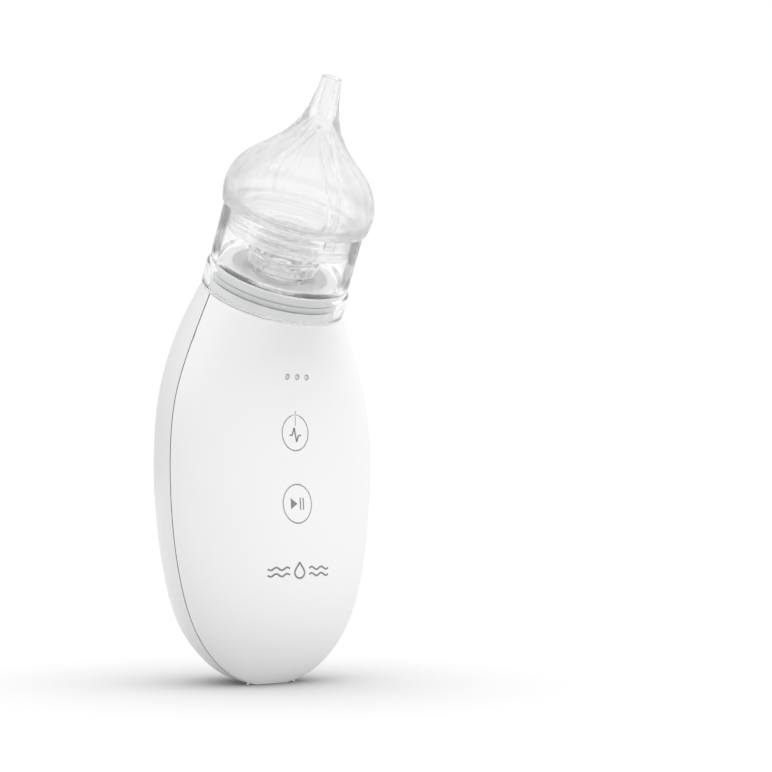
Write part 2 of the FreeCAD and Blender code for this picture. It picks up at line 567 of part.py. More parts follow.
def pump_head():
    screw_hole = "pump_screw_radius + fit"
    outside = pump_rod("casing_outside", "pump_radius", "motor_high + 0.02", "casing_high")
    hollow = pump_rod("casing_hollow", "casing_inner", "casing_floor", "casing_high + 1")
    columns = around("casing_column", "pump_screw_offset", "pump_boss_radius", "casing_floor - 0.1", "casing_high")
    cup = fuse("casing_joined", cut("casing_cup", outside, hollow), *columns)
    limit = pump_rod("casing_limit", "pump_radius", "motor_high + 0.02", "casing_high")
    holes = around("casing_hole", "pump_screw_offset", screw_hole, "pump_screw_low - 0.4", "casing_high + 1")
    finish(cut("casing_body", common("casing_trimmed", cup, limit),
               pump_rod("casing_shaft_hole", 1.6, "motor_high - 1", "casing_floor + 1"), *holes), "pump_casing")

    boss = pump_rod("rocker_boss", "rocker_outer", "rocker_low", "arm_high")
    arms = []
    for i in range(3):
        turn = Rotation(Vector(0, 0, 1), 90 + 120 * i)
        corner = turn.multVec(Vector(1.8, -size("arm_half_width"), 0))
        arm = make("Part::Box", "rocker_arm%d" % (i + 1), (corner.x, corner.y + size("pump_y"), "arm_low"), turn,
                   Length="chamber_offset - 1.8", Width="2 * arm_half_width", Height="arm_high - arm_low")
        arms.append(arm)
    pads = around("pad", "chamber_offset", 2.5, "arm_low", "arm_high", 3, 90)
    socket = pump_rod("rocker_socket", "rocker_inner", "rocker_low - 1", "arm_low - 0.3")
    finish(cut("rocker_body", fuse("rocker_joined", boss, *(arms + pads)), socket), "rocker_plate")

    sheet_disc = pump_rod("membrane_disc", "pump_radius - 0.1", "casing_high + 0.01", "membrane_high")
    cups = around("membrane_cup", "chamber_offset", "chamber_radius", "arm_high + 0.01", "membrane_high", 3, 90)
    hollows = around("membrane_hollow", "chamber_offset", "chamber_inner", "chamber_floor", "membrane_high + 1",
                     3, 90)
    holes = around("membrane_hole", "pump_screw_offset", screw_hole, "casing_high - 1", "membrane_high + 1")
    finish(cut("membrane_body", fuse("membrane_joined", sheet_disc, *cups), *(hollows + holes)), "diaphragm")

    plate = pump_rod("valve_disc", "pump_radius", "membrane_high + 0.01", "valve_high")
    holes = around("valve_hole", "pump_screw_offset", screw_hole, "membrane_high - 1", "valve_high + 1")
    inlets = around("valve_inlet", "chamber_offset - 1.3", 0.7, "membrane_high - 1", "valve_high + 1", 3, 90)
    outlets = around("valve_outlet", "chamber_offset + 1.3", 0.6, "membrane_high - 1", "valve_high + 1", 3, 90)
    finish(cut("valve_body", plate, *(holes + inlets + outlets)), "valve_plate")

    lid = pump_rod("lid_disc", "pump_radius", "valve_high + 0.01", "cover_high")
    inlet = pump_rod("inlet_nipple", "nipple_radius", "cover_high - 1", "nipple_high")
    outlet = pump_rod("outlet_nipple", "outlet_radius", "cover_high - 1", "nipple_high - 0.5", 0, "outlet_offset")
    bores = [pump_rod("inlet_bore", "air_bore", "valve_high - 1", "nipple_high + 1"),
             pump_rod("outlet_bore", "outlet_bore", "valve_high - 1", "nipple_high + 1", 0, "outlet_offset"),
             pump_rod("inlet_chamber", 5.4, "valve_high - 1", "valve_high + 0.9")]
    holes = around("lid_hole", "pump_screw_offset", screw_hole, "valve_high - 1", "cover_high + 1")
    finish(cut("lid_body", fuse("lid_joined", lid, inlet, outlet), *(bores + holes)), "pump_cover")

    shanks = around("pump_shank", "pump_screw_offset", "pump_screw_radius", "pump_screw_low", "cover_high + 0.5")
    heads = around("pump_head", "pump_screw_offset", "pump_screw_head", "cover_high + 0.01", "cover_high + 1.3")
    sockets = around("pump_socket", "pump_screw_offset", 0.6, "cover_high + 0.7", "cover_high + 3")
    screws = [cut("pump_screw%d" % i, fuse("pump_screw_joined%d" % i, shank, head), socket)
              for i, (shank, head, socket) in enumerate(zip(shanks, heads, sockets), start=1)]
    finish(group("pump_screws_body", *screws), "pump_screws")

    damper = pump_rod("damper_outside", "damper_radius", "damper_low", "damper_high")
    grooves = [make("Part::Torus", "damper_groove%d" % i, (0, "pump_y", height), Radius1="damper_radius + 0.4",
                    Radius2=0.9) for i, height in enumerate((45, 50, 55))]
    finish(cut("damper_body", damper, pump_rod("damper_inside", "pump_radius + fit", "damper_low - 1",
                                               "damper_high + 1"), *grooves), "pump_damper_sleeve")


def suction_tube():
    """A silicone tube from the neck cap's barb down to the pump's inlet nipple."""
    axis = HEAD.Rotation.multVec(Vector(0, 0, 1))
    reach = (size("pump_y") - size("part_y")) / axis.y
    bend = HEAD.Base + axis * reach
    points = [HEAD.multVec(Vector(0, 0, size("cap_low") - 0.1)), bend,
              Vector(0, size("pump_y"), size("cover_high") + 0.1)]
    hose = doc.addObject("Part::Feature", "suction_tube_body")
    hose.Shape = tube(points, size("tube_radius")).cut(tube(points, size("barb_radius") + 0.02))
    finish(hose, "suction_tube")


# ---------------------------------------------------------------- frame, boards, battery
def inner_frame():
    half, front, back = "frame_half_width", "frame_front", "frame_back"
    plate = rounded("frame_plate", box("frame_box", ("-" + half, front, "frame_low"),
                                       (half, back, "frame_high")), 3, Vector(0, 1, 0))
    solids = [plate]
    for level in ("low", "high"):
        x, z = level + "_screw_x", level + "_screw_height"
        solids.append(box(level + "_ear", ("-" + x, front, z + " - 3"), (x, back, z + " + 3")))
    solids += at_shell_screws("ear_end", 3, front, back)
    solids.append(rounded("shelf", box("shelf_box", (-12.5, "frame_back - 0.5", "shelf_low"),
                                       (12.5, 17, "shelf_high")), 3, Vector(0, 0, 1)))
    for side in (-1, 1):
        solids.append(box("saddle%d" % side, (11 * side - 1, "frame_back - 0.5", "saddle_low"),
                          (11 * side + 1, 9.5, "saddle_high")))
    solids.append(box("charge_bar", (-11, 4.5, "charge_low - 1.4"), (11, 7.5, "charge_low - 0.02")))
    board_screws = [(sign + "board_screw_x", "board_screw_" + level) for sign in ("", "-")
                    for level in ("low", "high")]
    solids += [rod("standoff%d" % i, (x, "board_back + 0.02", z), 2.2, "frame_front - board_back + 0.1", ALONG_Y)
               for i, (x, z) in enumerate(board_screws)]
    holes = at_shell_screws("ear_hole", "screw_radius + 0.15", -12, 0)
    holes += [rod("standoff_hole%d" % i, (x, -12, z), 0.85, 8, ALONG_Y) for i, (x, z) in enumerate(board_screws)]
    holes.append(rod("cell_seat", (-20, "cell_y", "cell_height"), "cell_radius + 0.1", 40, ALONG_X))
    holes.append(rod("terminal_hole", (0, "pump_y", 30), 6, 12))
    for name in ("motor", "cell"):
        holes += [rod("%s_lead_hole%d" % (name, side), ("%d * %s_lead_x" % (side, name), -12, "lead_height"),
                      1.0, 8, ALONG_Y) for side in (-1, 1)]
    holes += [rod("charge_lead_hole%d" % side, (2.5 * side, -12, 27.2), 1.0, 8, ALONG_Y) for side in (-1, 1)]
    finish(cut("inner_frame_body", fuse("frame_joined", *solids), *holes), "inner_frame")

    board = rounded("board_outline", box("board_box", ("-board_half_width", "board_front", "board_low"),
                                         ("board_half_width", "board_back", "board_high")), 2, Vector(0, 1, 0))
    drilled = [rod("board_hole%d" % i, (x, -14, z), 1.0, 6, ALONG_Y) for i, (x, z) in enumerate(board_screws)]
    finish(cut("main_board_body", board, *drilled), "main_circuit_board")

    screws = []
    for i, (x, z) in enumerate(board_screws):
        shank = rod("board_shank%d" % i, (x, "board_front - 0.3", z), 0.8, 4.4, ALONG_Y)
        head = rod("board_head%d" % i, (x, "board_front - 1.02", z), 1.5, 1.0, ALONG_Y)
        slot = box("board_slot%d" % i, (x + " - 1.2", "board_front - 2", z + " - 0.2"),
                   (x + " + 1.2", "board_front - 0.6", z + " + 0.2"))
        screws.append(cut("board_screw%d" % i, fuse("board_screw_joined%d" % i, shank, head), slot))
    finish(group("board_screws_body", *screws), "board_screws")


def board_parts():
    def part(name, x, z, half_width, half_height, depth):
        return box(name, (x - half_width, "board_front - %g" % depth, z - half_height),
                   (x + half_width, "board_front - 0.01", z + half_height))

    chips = [part("controller", 0, 56, 2.5, 2.5, 0.9), part("charger", -7.5, 34, 2.4, 1.9, 0.9),
             part("inductor", 7.2, 36, 2.6, 2.6, 1.9), part("transistor", 8, 57, 1.6, 1.5, 1.0)]
    chips += [part("small%d" % i, -9.5 + 2.2 * i, 73, 0.5, 0.9, 0.6) for i in range(8)]
    chips += [part("chip_cap%d" % i, -8.5, 50 + 2.4 * i, 0.9, 0.5, 0.7) for i in range(4)]
    finish(group("board_parts_body", *chips), "board_components")
    lights = [box("led%d" % (i + 1), ("%d * led_pitch - 0.5" % i, "board_front - 0.6", "led_height - 0.8"),
                  ("%d * led_pitch + 0.5" % i, "board_front - 0.01", "led_height + 0.8")) for i in (-1, 0, 1)]
    finish(group("led_chips_body", *lights), "led_chips")
    pins = common("guide_pins", front_outer, fuse("guide_rods", *light_rods("guide_rod", "led_radius", "guide_back")))
    bar = box("guide_bar", ("-led_pitch - 1.2", "guide_back - 1", "led_height - 0.9"),
              ("led_pitch + 1.2", "guide_back - 0.3", "led_height + 0.9"))
    finish(fuse("light_guide_body", pins, bar), "led_light_guide")


def battery():
    cell = rod("cell_can", ("-cell_length / 2", "cell_y", "cell_height"), "cell_radius", "cell_length", ALONG_X)
    button_end = rod("cell_button", ("cell_length / 2 - 0.5", "cell_y", "cell_height"), 3, 0.8, ALONG_X)
    finish(fuse("battery_body", cell, button_end), "battery_cell")
    pads = [box("pad_block%d" % side, (9 * side - 2, 2, "cell_height + cell_radius + 0.02"),
                (9 * side + 2, 9, "shelf_low - 0.02")) for side in (-1, 1)]
    finish(group("battery_pads_body", *pads), "battery_foam_pads")


def charging():
    board = rounded("charge_outline", box("charge_box", (-6.4, 3.6, "charge_low"), (6.4, 15.6, "charge_high - 0.02")),
                    1, Vector(0, 0, 1))
    finish(board, "charging_board")
    outer = stadium("usb_outer", "usb_half_width", "usb_half_height", "usb_height", "usb_front", "usb_back")
    inner = stadium("usb_inner", "usb_half_width - usb_shell", "usb_half_height - usb_shell", "usb_height",
                    "usb_front + 1", "usb_back + 1")
    tongue = box("usb_tongue", (-3.3, "usb_front + 0.5", "usb_height - 0.35"),
                 (3.3, "usb_back - 0.8", "usb_height + 0.35"))
    finish(fuse("usb_body", cut("usb_shell_body", outer, inner), tongue), "charging_socket")


def leads():
    def pair(label, x, route):
        wires = []
        for side in (-1, 1):
            points = [Vector(side * x, y, z) for y, z in route]
            wires.append(tube(points, size("lead_radius")))
        wire_pair = doc.addObject("Part::Feature", label + "_body")
        wire_pair.Shape = Part.makeCompound(wires)
        finish(wire_pair, label)

    level, board = size("lead_height"), size("board_back") + 0.02
    pair("motor_leads", size("motor_lead_x"),
         [(size("pump_y"), size("motor_low") - 1.45), (size("pump_y"), level), (board, level)])
    cell_top = size("cell_height") + size("cell_radius")
    pair("battery_leads", size("cell_lead_x"),
         [(size("cell_y"), cell_top + 0.02), (size("cell_y"), level), (board, level)])
    pair("charging_leads", 2.5, [(5.2, size("charge_high")), (5.2, 14.2), (-5.6, 14.2), (-5.6, 27.2), (board, 27.2)])


def shell_screws():
    shanks = at_shell_screws("shell_shank", "screw_radius", "screw_tip", "screw_seat + 0.5")
    heads = at_shell_screws("shell_head", "screw_head_radius", "screw_seat + 0.02", "screw_seat + screw_head_height")
    screws = []
    for i, (shank, head) in enumerate(zip(shanks, heads)):
        x, z, spot = SHELL_SCREWS[i]
        cross = [box("cross_a" + spot, (x + " - 1.2", "screw_seat + 0.8", z + " - 0.3"), (x + " + 1.2", 12, z + " + 0.3")),
                 box("cross_b" + spot, (x + " - 0.3", "screw_seat + 0.8", z + " - 1.2"), (x + " + 0.3", 12, z + " + 1.2"))]
        screws.append(cut("shell_screw" + spot, fuse("shell_screw_joined" + spot, shank, head), *cross))
    finish(group("shell_screws_body", *screws), "shell_screws")
    plugs = common("plugs_trimmed", back_outer, fuse("plug_rods", *at_shell_screws(
        "plug_rod", "screw_head_radius + 0.2", "screw_seat + screw_head_height + 0.2", BIG)))
    finish(plugs, "screw_hole_plugs")


# ---------------------------------------------------------------- build and write
front_cover()
rear_housing()
port_cover()
for key in ("power", "play"):
    button(key)
    switch(key)
neck_cap()
collection_cup()
baffle_cap()
nozzle_tip()
motor()
pump_head()
suction_tube()
inner_frame()
board_parts()
battery()
charging()
leads()
shell_screws()
doc.recompute()

for item in doc.Objects:
    if {"Invalid", "Error"} & set(item.State):
        raise RuntimeError("%s (%s) failed: %s" % (item.Name, item.Label, item.State))
for item in SUB_PARTS:
    if item.Shape.isNull() or not item.Shape.isValid():
        raise RuntimeError(item.Label + " has no valid shape")

os.makedirs("parts", exist_ok=True)
for item in SUB_PARTS:
    item.Shape.exportStep("parts/%s.step" % item.Label)
    extent = item.Shape.BoundBox
    print("%-22s %d solid(s) %9.1f mm3  x %6.1f..%-6.1f y %6.1f..%-6.1f z %6.1f..%-6.1f" % (
        item.Label, len(item.Shape.Solids), item.Shape.Volume, extent.XMin, extent.XMax,
        extent.YMin, extent.YMax, extent.ZMin, extent.ZMax))
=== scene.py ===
"""Looks of a battery nasal aspirator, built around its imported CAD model: a white body in two
halves, a clear collection cup with a clear baffle, and a clear silicone nozzle.

Metres, +Z up, the buttons face -Y. Sizes in the tables below are millimetres.
Head pieces are turned upright at the origin and then set on the leaning neck.
"""
import math
from contextlib import contextmanager

import bmesh
import bpy
from mathutils import Matrix, Vector


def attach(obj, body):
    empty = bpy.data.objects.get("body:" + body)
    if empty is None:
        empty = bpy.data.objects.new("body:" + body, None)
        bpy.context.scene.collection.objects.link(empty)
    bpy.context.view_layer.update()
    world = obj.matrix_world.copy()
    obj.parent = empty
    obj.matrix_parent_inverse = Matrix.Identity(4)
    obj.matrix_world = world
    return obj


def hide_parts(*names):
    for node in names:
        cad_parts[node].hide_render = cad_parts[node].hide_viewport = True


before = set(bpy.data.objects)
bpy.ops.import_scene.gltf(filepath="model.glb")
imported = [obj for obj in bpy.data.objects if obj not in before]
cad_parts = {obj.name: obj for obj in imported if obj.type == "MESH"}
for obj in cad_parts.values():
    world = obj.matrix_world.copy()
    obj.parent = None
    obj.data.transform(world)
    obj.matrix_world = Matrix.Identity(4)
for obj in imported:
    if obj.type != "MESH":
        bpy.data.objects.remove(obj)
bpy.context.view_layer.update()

MM = 0.001
PART_Y = -5.0
NECK = Vector((0, PART_Y, 101)) * MM
LEAN = math.radians(28)
ON_NECK = Matrix.Translation(NECK) @ Matrix.Rotation(LEAN, 4, "X")
WALL = 2.2
SEAM, SEAM_DEPTH = 0.32, 0.3
KEY_GAP, FLAP_GAP = 0.12, 0.2


# ---------------------------------------------------------------- camera, lights, floor
def camera():
    lens = bpy.data.cameras.new("camera")
    lens.lens, lens.sensor_width = 86.27, 36.0
    lens.clip_start = 0.01
    seat = bpy.data.objects.new("camera", lens)
    bpy.context.scene.collection.objects.link(seat)
    seat.location = Vector((-256.0, -419.8, 50.3)) * MM
    aim = Vector((0.5766, 0.8170, math.tan(math.radians(3.22))))
    seat.rotation_euler = aim.to_track_quat("-Z", "Y").to_euler()
    bpy.context.scene.camera = seat


def studio():
    """A white room whose soft light is dimmer from below and from the left."""
    world = bpy.data.worlds.new("white_room")
    world.use_nodes = True
    tree = world.node_tree
    backdrop = tree.nodes["Background"]
    way = add(tree, "SeparateXYZ", {0: add(tree, "TexCoord").outputs["Generated"]}).outputs
    glow = add(tree, "MapRange", {"Value": way[2], "From Min": -1.0, "From Max": 0.5,
                                  "To Min": 0.5, "To Max": 1.42}).outputs[0]
    lit = add(tree, "Math", {0: way[0], 1: 0.12, 2: glow}, operation="MULTIPLY_ADD").outputs[0]
    path = add(tree, "LightPath").outputs
    mirrored = add(tree, "Math", {0: way[0], 1: 0.38, 2: 0.7}, operation="MULTIPLY_ADD").outputs[0]
    seen = add(tree, "Mix", {"Factor": path["Is Reflection Ray"], "A": 1.0, "B": mirrored},
               data_type="FLOAT").outputs[0]
    strength = add(tree, "Mix", {"Factor": path["Is Diffuse Ray"], "A": seen, "B": lit},
                   data_type="FLOAT").outputs[0]
    plug(tree, backdrop, {"Color": (1, 1, 1, 1), "Strength": strength})
    bpy.context.scene.world = world
    bpy.context.scene.view_settings.view_transform = "Standard"


def floor_and_its_light(material):
    """A pale floor with a broad light of its own, so that only the shadow round the base shows."""
    floor = start("floor", bpy.ops.mesh.primitive_plane_add, size=8.0)
    floor.data.materials.append(material)
    floor.visible_diffuse = False
    only_floor = bpy.data.collections.new("only_floor")
    only_floor.objects.link(floor)
    dome = bpy.data.lights.new("floor_dome", "SUN")
    dome.energy, dome.angle = 10.9, math.radians(125)
    seat = bpy.data.objects.new("floor_dome", dome)
    bpy.context.scene.collection.objects.link(seat)
    seat.light_linking.receiver_collection = only_floor


# ---------------------------------------------------------------- modelling helpers
def start(name, add, **place):
    """A primitive to shape, the only thing selected."""
    bpy.ops.object.select_all(action="DESELECT")
    add(**place)
    piece = bpy.context.active_object
    piece.name = name
    return piece


@contextmanager
def editing(piece):
    choose(piece)
    bpy.ops.object.mode_set(mode="EDIT")
    bpy.ops.mesh.select_mode(type="VERT")
    bpy.ops.mesh.select_all(action="SELECT")
    yield
    bpy.ops.object.mode_set(mode="OBJECT")


def choose(*pieces):
    bpy.ops.object.select_all(action="DESELECT")
    for piece in pieces:
        piece.select_set(True)
    bpy.context.view_layer.objects.active = pieces[0]


def pick(piece, test):
    """In edit mode, selects the vertices whose place (in mm) passes the test."""
    mesh = bmesh.from_edit_mesh(piece.data)
    for face in mesh.faces:
        face.select_set(False)
    for edge in mesh.edges:
        edge.select_set(False)
    for vertex in mesh.verts:
        vertex.select_set(bool(test(vertex.co / MM)))
    mesh.select_flush(True)
    bmesh.update_edit_mesh(piece.data)


def pick_corners(piece):
    """In edit mode, selects the points where a bare outline turns sharply."""
    bpy.ops.mesh.select_all(action="DESELECT")
    mesh = bmesh.from_edit_mesh(piece.data)
    for vertex in mesh.verts:
        arms = [edge.other_vert(vertex).co - vertex.co for edge in vertex.link_edges]
        vertex.select_set(len(arms) == 2 and arms[0].angle(arms[1]) < math.radians(155))
    bmesh.update_edit_mesh(piece.data)


def clean():
    bpy.ops.mesh.select_all(action="SELECT")
    bpy.ops.mesh.remove_doubles(threshold=1e-6)
    bpy.ops.mesh.normals_make_consistent(inside=False)


def modified(piece, kind, **settings):
    """Adds a modifier, sets it and applies it."""
    choose(piece)
    bpy.ops.object.modifier_add(type=kind)
    modifier = piece.modifiers[-1]
    for name, value in settings.items():
        setattr(modifier, name, value)
    bpy.ops.object.modifier_apply(modifier=modifier.name)
    return piece


def copy_of(piece, name):
    twin = piece.copy()
    twin.data = piece.data.copy()
    twin.name = name
    bpy.context.scene.collection.objects.link(twin)
    return twin


def carve(piece, tool, operation="DIFFERENCE", keep_tool=False):
    modified(piece, "BOOLEAN", operation=operation, object=tool, solver="EXACT")
    if not keep_tool:
        bpy.data.objects.remove(tool)
    return piece


def joined(first, *others):
    choose(first, *others)
    bpy.ops.object.join()
    return first


def placed(piece, matrix=None):
    """Moves the piece and leaves its place in its mesh."""
    if matrix is not None:
        piece.matrix_world = matrix
    choose(piece)
    bpy.ops.object.transform_apply(location=True, rotation=True, scale=True)
    return piece


def softened(piece, width=0.12, angle=50, segments=2):
    """Small rounded edges and smooth faces."""
    modified(piece, "BEVEL", width=width * MM, segments=segments, limit_method="ANGLE",
             angle_limit=math.radians(angle), use_clamp_overlap=True)
    choose(piece)
    bpy.ops.object.shade_smooth_by_angle(angle=math.radians(40))
    return modified(piece, "WEIGHTED_NORMAL", keep_sharp=True)


def turned(name, outline, corner=0.12, steps=128, leaning=True):
    """A piece spun about Z from an outline of (radius, height) in mm."""
    points = [Vector((radius, 0, height)) * MM for radius, height in outline]
    piece = start(name, bpy.ops.mesh.primitive_plane_add, size=MM)
    with editing(piece):
        bpy.ops.mesh.merge(type="CENTER")
        bpy.ops.transform.translate(value=points[0])
        for before, after in zip(points, points[1:]):
            bpy.ops.mesh.extrude_region_move(TRANSFORM_OT_translate={"value": after - before})
        bpy.ops.mesh.select_all(action="SELECT")
        bpy.ops.mesh.remove_doubles(threshold=1e-6)
        if corner:
            pick_corners(piece)
            bpy.ops.mesh.bevel(offset=corner * MM, segments=3, affect="VERTICES")
        bpy.ops.mesh.select_all(action="SELECT")
        bpy.ops.mesh.spin(steps=steps, angle=2 * math.pi, center=(0, 0, 0), axis=(0, 0, 1))
        clean()
    choose(piece)
    bpy.ops.object.shade_smooth_by_angle(angle=math.radians(35))
    return placed(piece, ON_NECK if leaning else Matrix())


def bar(name, half_width, half_height, middle, low, high, stretch=0.0, sides=64):
    """A bar that runs front to back, oval, or with flat sides where it is stretched."""
    piece = start(name, bpy.ops.mesh.primitive_cylinder_add, vertices=sides, radius=1, depth=1,
                  rotation=(math.pi / 2, 0, 0))
    placed(piece)
    with editing(piece):
        bpy.ops.transform.resize(value=(half_width * MM, (high - low) * MM, half_height * MM))
        if stretch:
            for sign in (-1, 1):
                pick(piece, lambda p: p.x * sign > 0.01)
                bpy.ops.transform.translate(value=(sign * stretch * MM, 0, 0))
        bpy.ops.mesh.select_all(action="SELECT")
        bpy.ops.transform.translate(value=Vector((middle[0], (low + high) / 2, middle[1])) * MM)
    return piece


def block(name, low, high, corner):
    """A box with the four edges that run front to back rounded."""
    low, high = Vector(low), Vector(high)
    piece = start(name, bpy.ops.mesh.primitive_cube_add, size=MM, location=(low + high) / 2 * MM,
                  scale=high - low)
    placed(piece)
    with editing(piece):
        mesh = bmesh.from_edit_mesh(piece.data)
        for edge in mesh.edges:
            run = edge.verts[0].co - edge.verts[1].co
            edge.select_set(abs(run.x) < 1e-7 and abs(run.z) < 1e-7)
        bmesh.update_edit_mesh(piece.data)
        bpy.ops.mesh.bevel(offset=corner * MM, segments=10, affect="EDGES")
    return piece


# ---------------------------------------------------------------- body
# height, half width, depth in front of the seam, depth behind it, tilt in degrees
STATIONS = [
    (0, 5, 0.8, 10, 0), (0.9, 8.2, 2.4, 13.4, 0), (3, 12.6, 5.3, 17.6, 0),
    (7.2, 17.5, 8.8, 22.2, 0), (14, 22.3, 12.0, 27.3, 0),
    (26, 26.7, 13.8, 30.2, 0), (42, 29.4, 13.1, 32, 0), (58, 30.2, 11.9, 32.8, 2),
    (74, 28.8, 11.8, 31.5, 13), (88, 24.3, 14.2, 26.6, 23.5), (101, 18.9, 18.9, 18.9, 28)]
AROUND = 160
RINGS_BETWEEN = 6


def smooth_rows(rows, between):
    """A smooth curve through the rows, with extra rows between them."""
    count = len(rows)
    reach = [0.0]
    for a, b in zip(rows, rows[1:]):
        reach.append(reach[-1] + math.hypot(b[0] - a[0], b[1] - a[1]))
    bends = [natural_bends(reach, [row[k] for row in rows]) for k in range(len(rows[0]))]
    result = []
    for i in range(count - 1):
        span = reach[i + 1] - reach[i]
        for step in range(between):
            b = step / between
            a = 1 - b
            result.append([
                a * rows[i][k] + b * rows[i + 1][k]
                + ((a ** 3 - a) * bends[k][i] + (b ** 3 - b) * bends[k][i + 1]) * span ** 2 / 6
                for k in range(len(rows[0]))])
    return result + [list(rows[-1])]


def natural_bends(at, values):
    """Second derivatives of the natural spline through the values."""
    count = len(at)
    upper, bends = [0.0] * count, [0.0] * count
    for i in range(1, count - 1):
        share = (at[i] - at[i - 1]) / (at[i + 1] - at[i - 1])
        pivot = share * bends[i - 1] + 2
        bends[i] = (share - 1) / pivot
        slopes = ((values[i + 1] - values[i]) / (at[i + 1] - at[i])
                  - (values[i] - values[i - 1]) / (at[i] - at[i - 1]))
        upper[i] = (6 * slopes / (at[i + 1] - at[i - 1]) - share * upper[i - 1]) / pivot
    bends[-1] = 0.0
    for i in range(count - 2, -1, -1):
        bends[i] = bends[i] * bends[i + 1] + upper[i]
    return bends


def lean(angle, centre):
    """Tilts the selection about the line through the centre along X."""
    bpy.ops.transform.rotate(value=-math.radians(angle), orient_axis="X", center_override=centre)


def body_skin():
    """The outside of the body, drawn up ring by ring from the sole to the neck, open on top."""
    rows = smooth_rows(STATIONS, RINGS_BETWEEN)
    skin = start("body_skin", bpy.ops.mesh.primitive_circle_add, vertices=AROUND, radius=MM)
    with editing(skin):
        bpy.ops.transform.translate(value=(0, PART_Y * MM, 0))
        before = (0, 1, 1, 1, 0)
        for row in rows:
            centre = Vector((0, PART_Y, before[0])) * MM
            if row is not rows[0]:
                bpy.ops.mesh.extrude_region_move()
            lean(-before[4], centre)
            ring = [v for v in bmesh.from_edit_mesh(skin.data).verts if v.select]
            for behind in (False, True):
                for vertex in ring:
                    vertex.select_set((vertex.co.y > PART_Y * MM) == behind)
                depth = 3 if behind else 2
                bpy.ops.transform.resize(
                    value=(row[1] / before[1], row[depth] / before[depth], 1),
                    center_override=centre)
            for vertex in ring:
                vertex.select_set(True)
            bmesh.from_edit_mesh(skin.data).select_flush(True)
            bpy.ops.transform.translate(value=(0, 0, (row[0] - before[0]) * MM))
            lean(row[4], Vector((0, PART_Y, row[0])) * MM)
            before = row
        pick(skin, lambda p: p.z < 0.001)
        bpy.ops.mesh.edge_face_add()
        bpy.ops.mesh.inset(thickness=0.6 * MM)
        clean()
    return skin


def one_side(piece, name, front):
    """The part of the body on one side of the seam, its cut closed."""
    side = copy_of(piece, name)
    y = PART_Y + (-SEAM / 2 if front else SEAM / 2)
    with editing(side):
        bpy.ops.mesh.bisect(plane_co=(0, y * MM, 0), plane_no=(0, 1, 0), use_fill=True,
                            clear_outer=front, clear_inner=not front)
        clean()
    return side


def finished(piece, body, material, slot, *nodes):
    """Gives a piece its material, the body it rides on and the CAD nodes it stands for."""
    piece.data.materials.clear()
    piece.data.materials.append(material)
    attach(piece, body)
    if nodes:
        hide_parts(*nodes)
    return piece


# ---------------------------------------------------------------- node helpers
def add(tree, kind, sockets=None, **settings):
    """A node with its settings; each socket takes a value or another node's socket."""
    made = tree.nodes.new("ShaderNode" + kind)
    for name, value in settings.items():
        setattr(made, name, value)
    plug(tree, made, sockets or {})
    return made


def plug(tree, made, sockets):
    for key, value in sockets.items():
        if isinstance(value, bpy.types.NodeSocket):
            tree.links.new(value, made.inputs[key])
        else:
            made.inputs[key].default_value = value


def effect(name, inputs, outputs):
    """An empty shader group with its named sockets."""
    tree = bpy.data.node_groups.new(name, "ShaderNodeTree")
    for label, kind, value in inputs:
        tree.interface.new_socket(label, in_out="INPUT", socket_type=kind).default_value = value
    for label, kind in outputs:
        tree.interface.new_socket(label, in_out="OUTPUT", socket_type=kind)
    return tree, tree.nodes.new("NodeGroupInput").outputs, tree.nodes.new("NodeGroupOutput")


def used(tree, group, sockets):
    made = tree.nodes.new("ShaderNodeGroup")
    made.node_tree = group
    plug(tree, made, sockets)
    return made.outputs


NUMBER, COLOUR, VECTOR = "NodeSocketFloat", "NodeSocketColor", "NodeSocketVector"


def per_mm(tree, size):
    """A texture scale from the size of its grain in millimetres."""
    return add(tree, "Math", {0: 1 / MM, 1: size}, operation="DIVIDE").outputs[0]


def moulded_grain():
    """The fine spark-eroded texture of a mould."""
    tree, given, out = effect("moulded_grain", [("Grain", NUMBER, 0.4), ("Depth", NUMBER, 0.1)],
                              [("Normal", VECTOR)])
    place = add(tree, "TexCoord").outputs["Object"]
    grain = add(tree, "TexNoise", {"Vector": place, "Scale": per_mm(tree, given["Grain"]),
                                   "Detail": 2.0, "Roughness": 0.55}).outputs["Fac"]
    bump = add(tree, "Bump", {"Strength": given["Depth"], "Distance": 0.0001, "Height": grain})
    plug(tree, out, {"Normal": bump.outputs["Normal"]})
    return tree


def tone_drift():
    """A colour that drifts a little lighter and darker over the surface."""
    tree, given, out = effect("tone_drift", [("Colour", COLOUR, (1, 1, 1, 1)),
                                             ("Drift", NUMBER, 0.04),
                                             ("Patch", NUMBER, 8.0)], [("Colour", COLOUR)])
    place = add(tree, "TexCoord").outputs["Object"]
    cloud = add(tree, "TexNoise", {"Vector": place, "Scale": per_mm(tree, given["Patch"]),
                                   "Detail": 4.0}).outputs["Fac"]
    centred = add(tree, "Math", {0: cloud, 1: 0.5}, operation="SUBTRACT").outputs[0]
    change = add(tree, "Math", {0: centred, 1: given["Drift"], 2: 1.0},
                 operation="MULTIPLY_ADD").outputs[0]
    tinted = add(tree, "VectorMath", {0: given["Colour"], "Scale": change}, operation="SCALE")
    plug(tree, out, {"Colour": tinted.outputs[0]})
    return tree


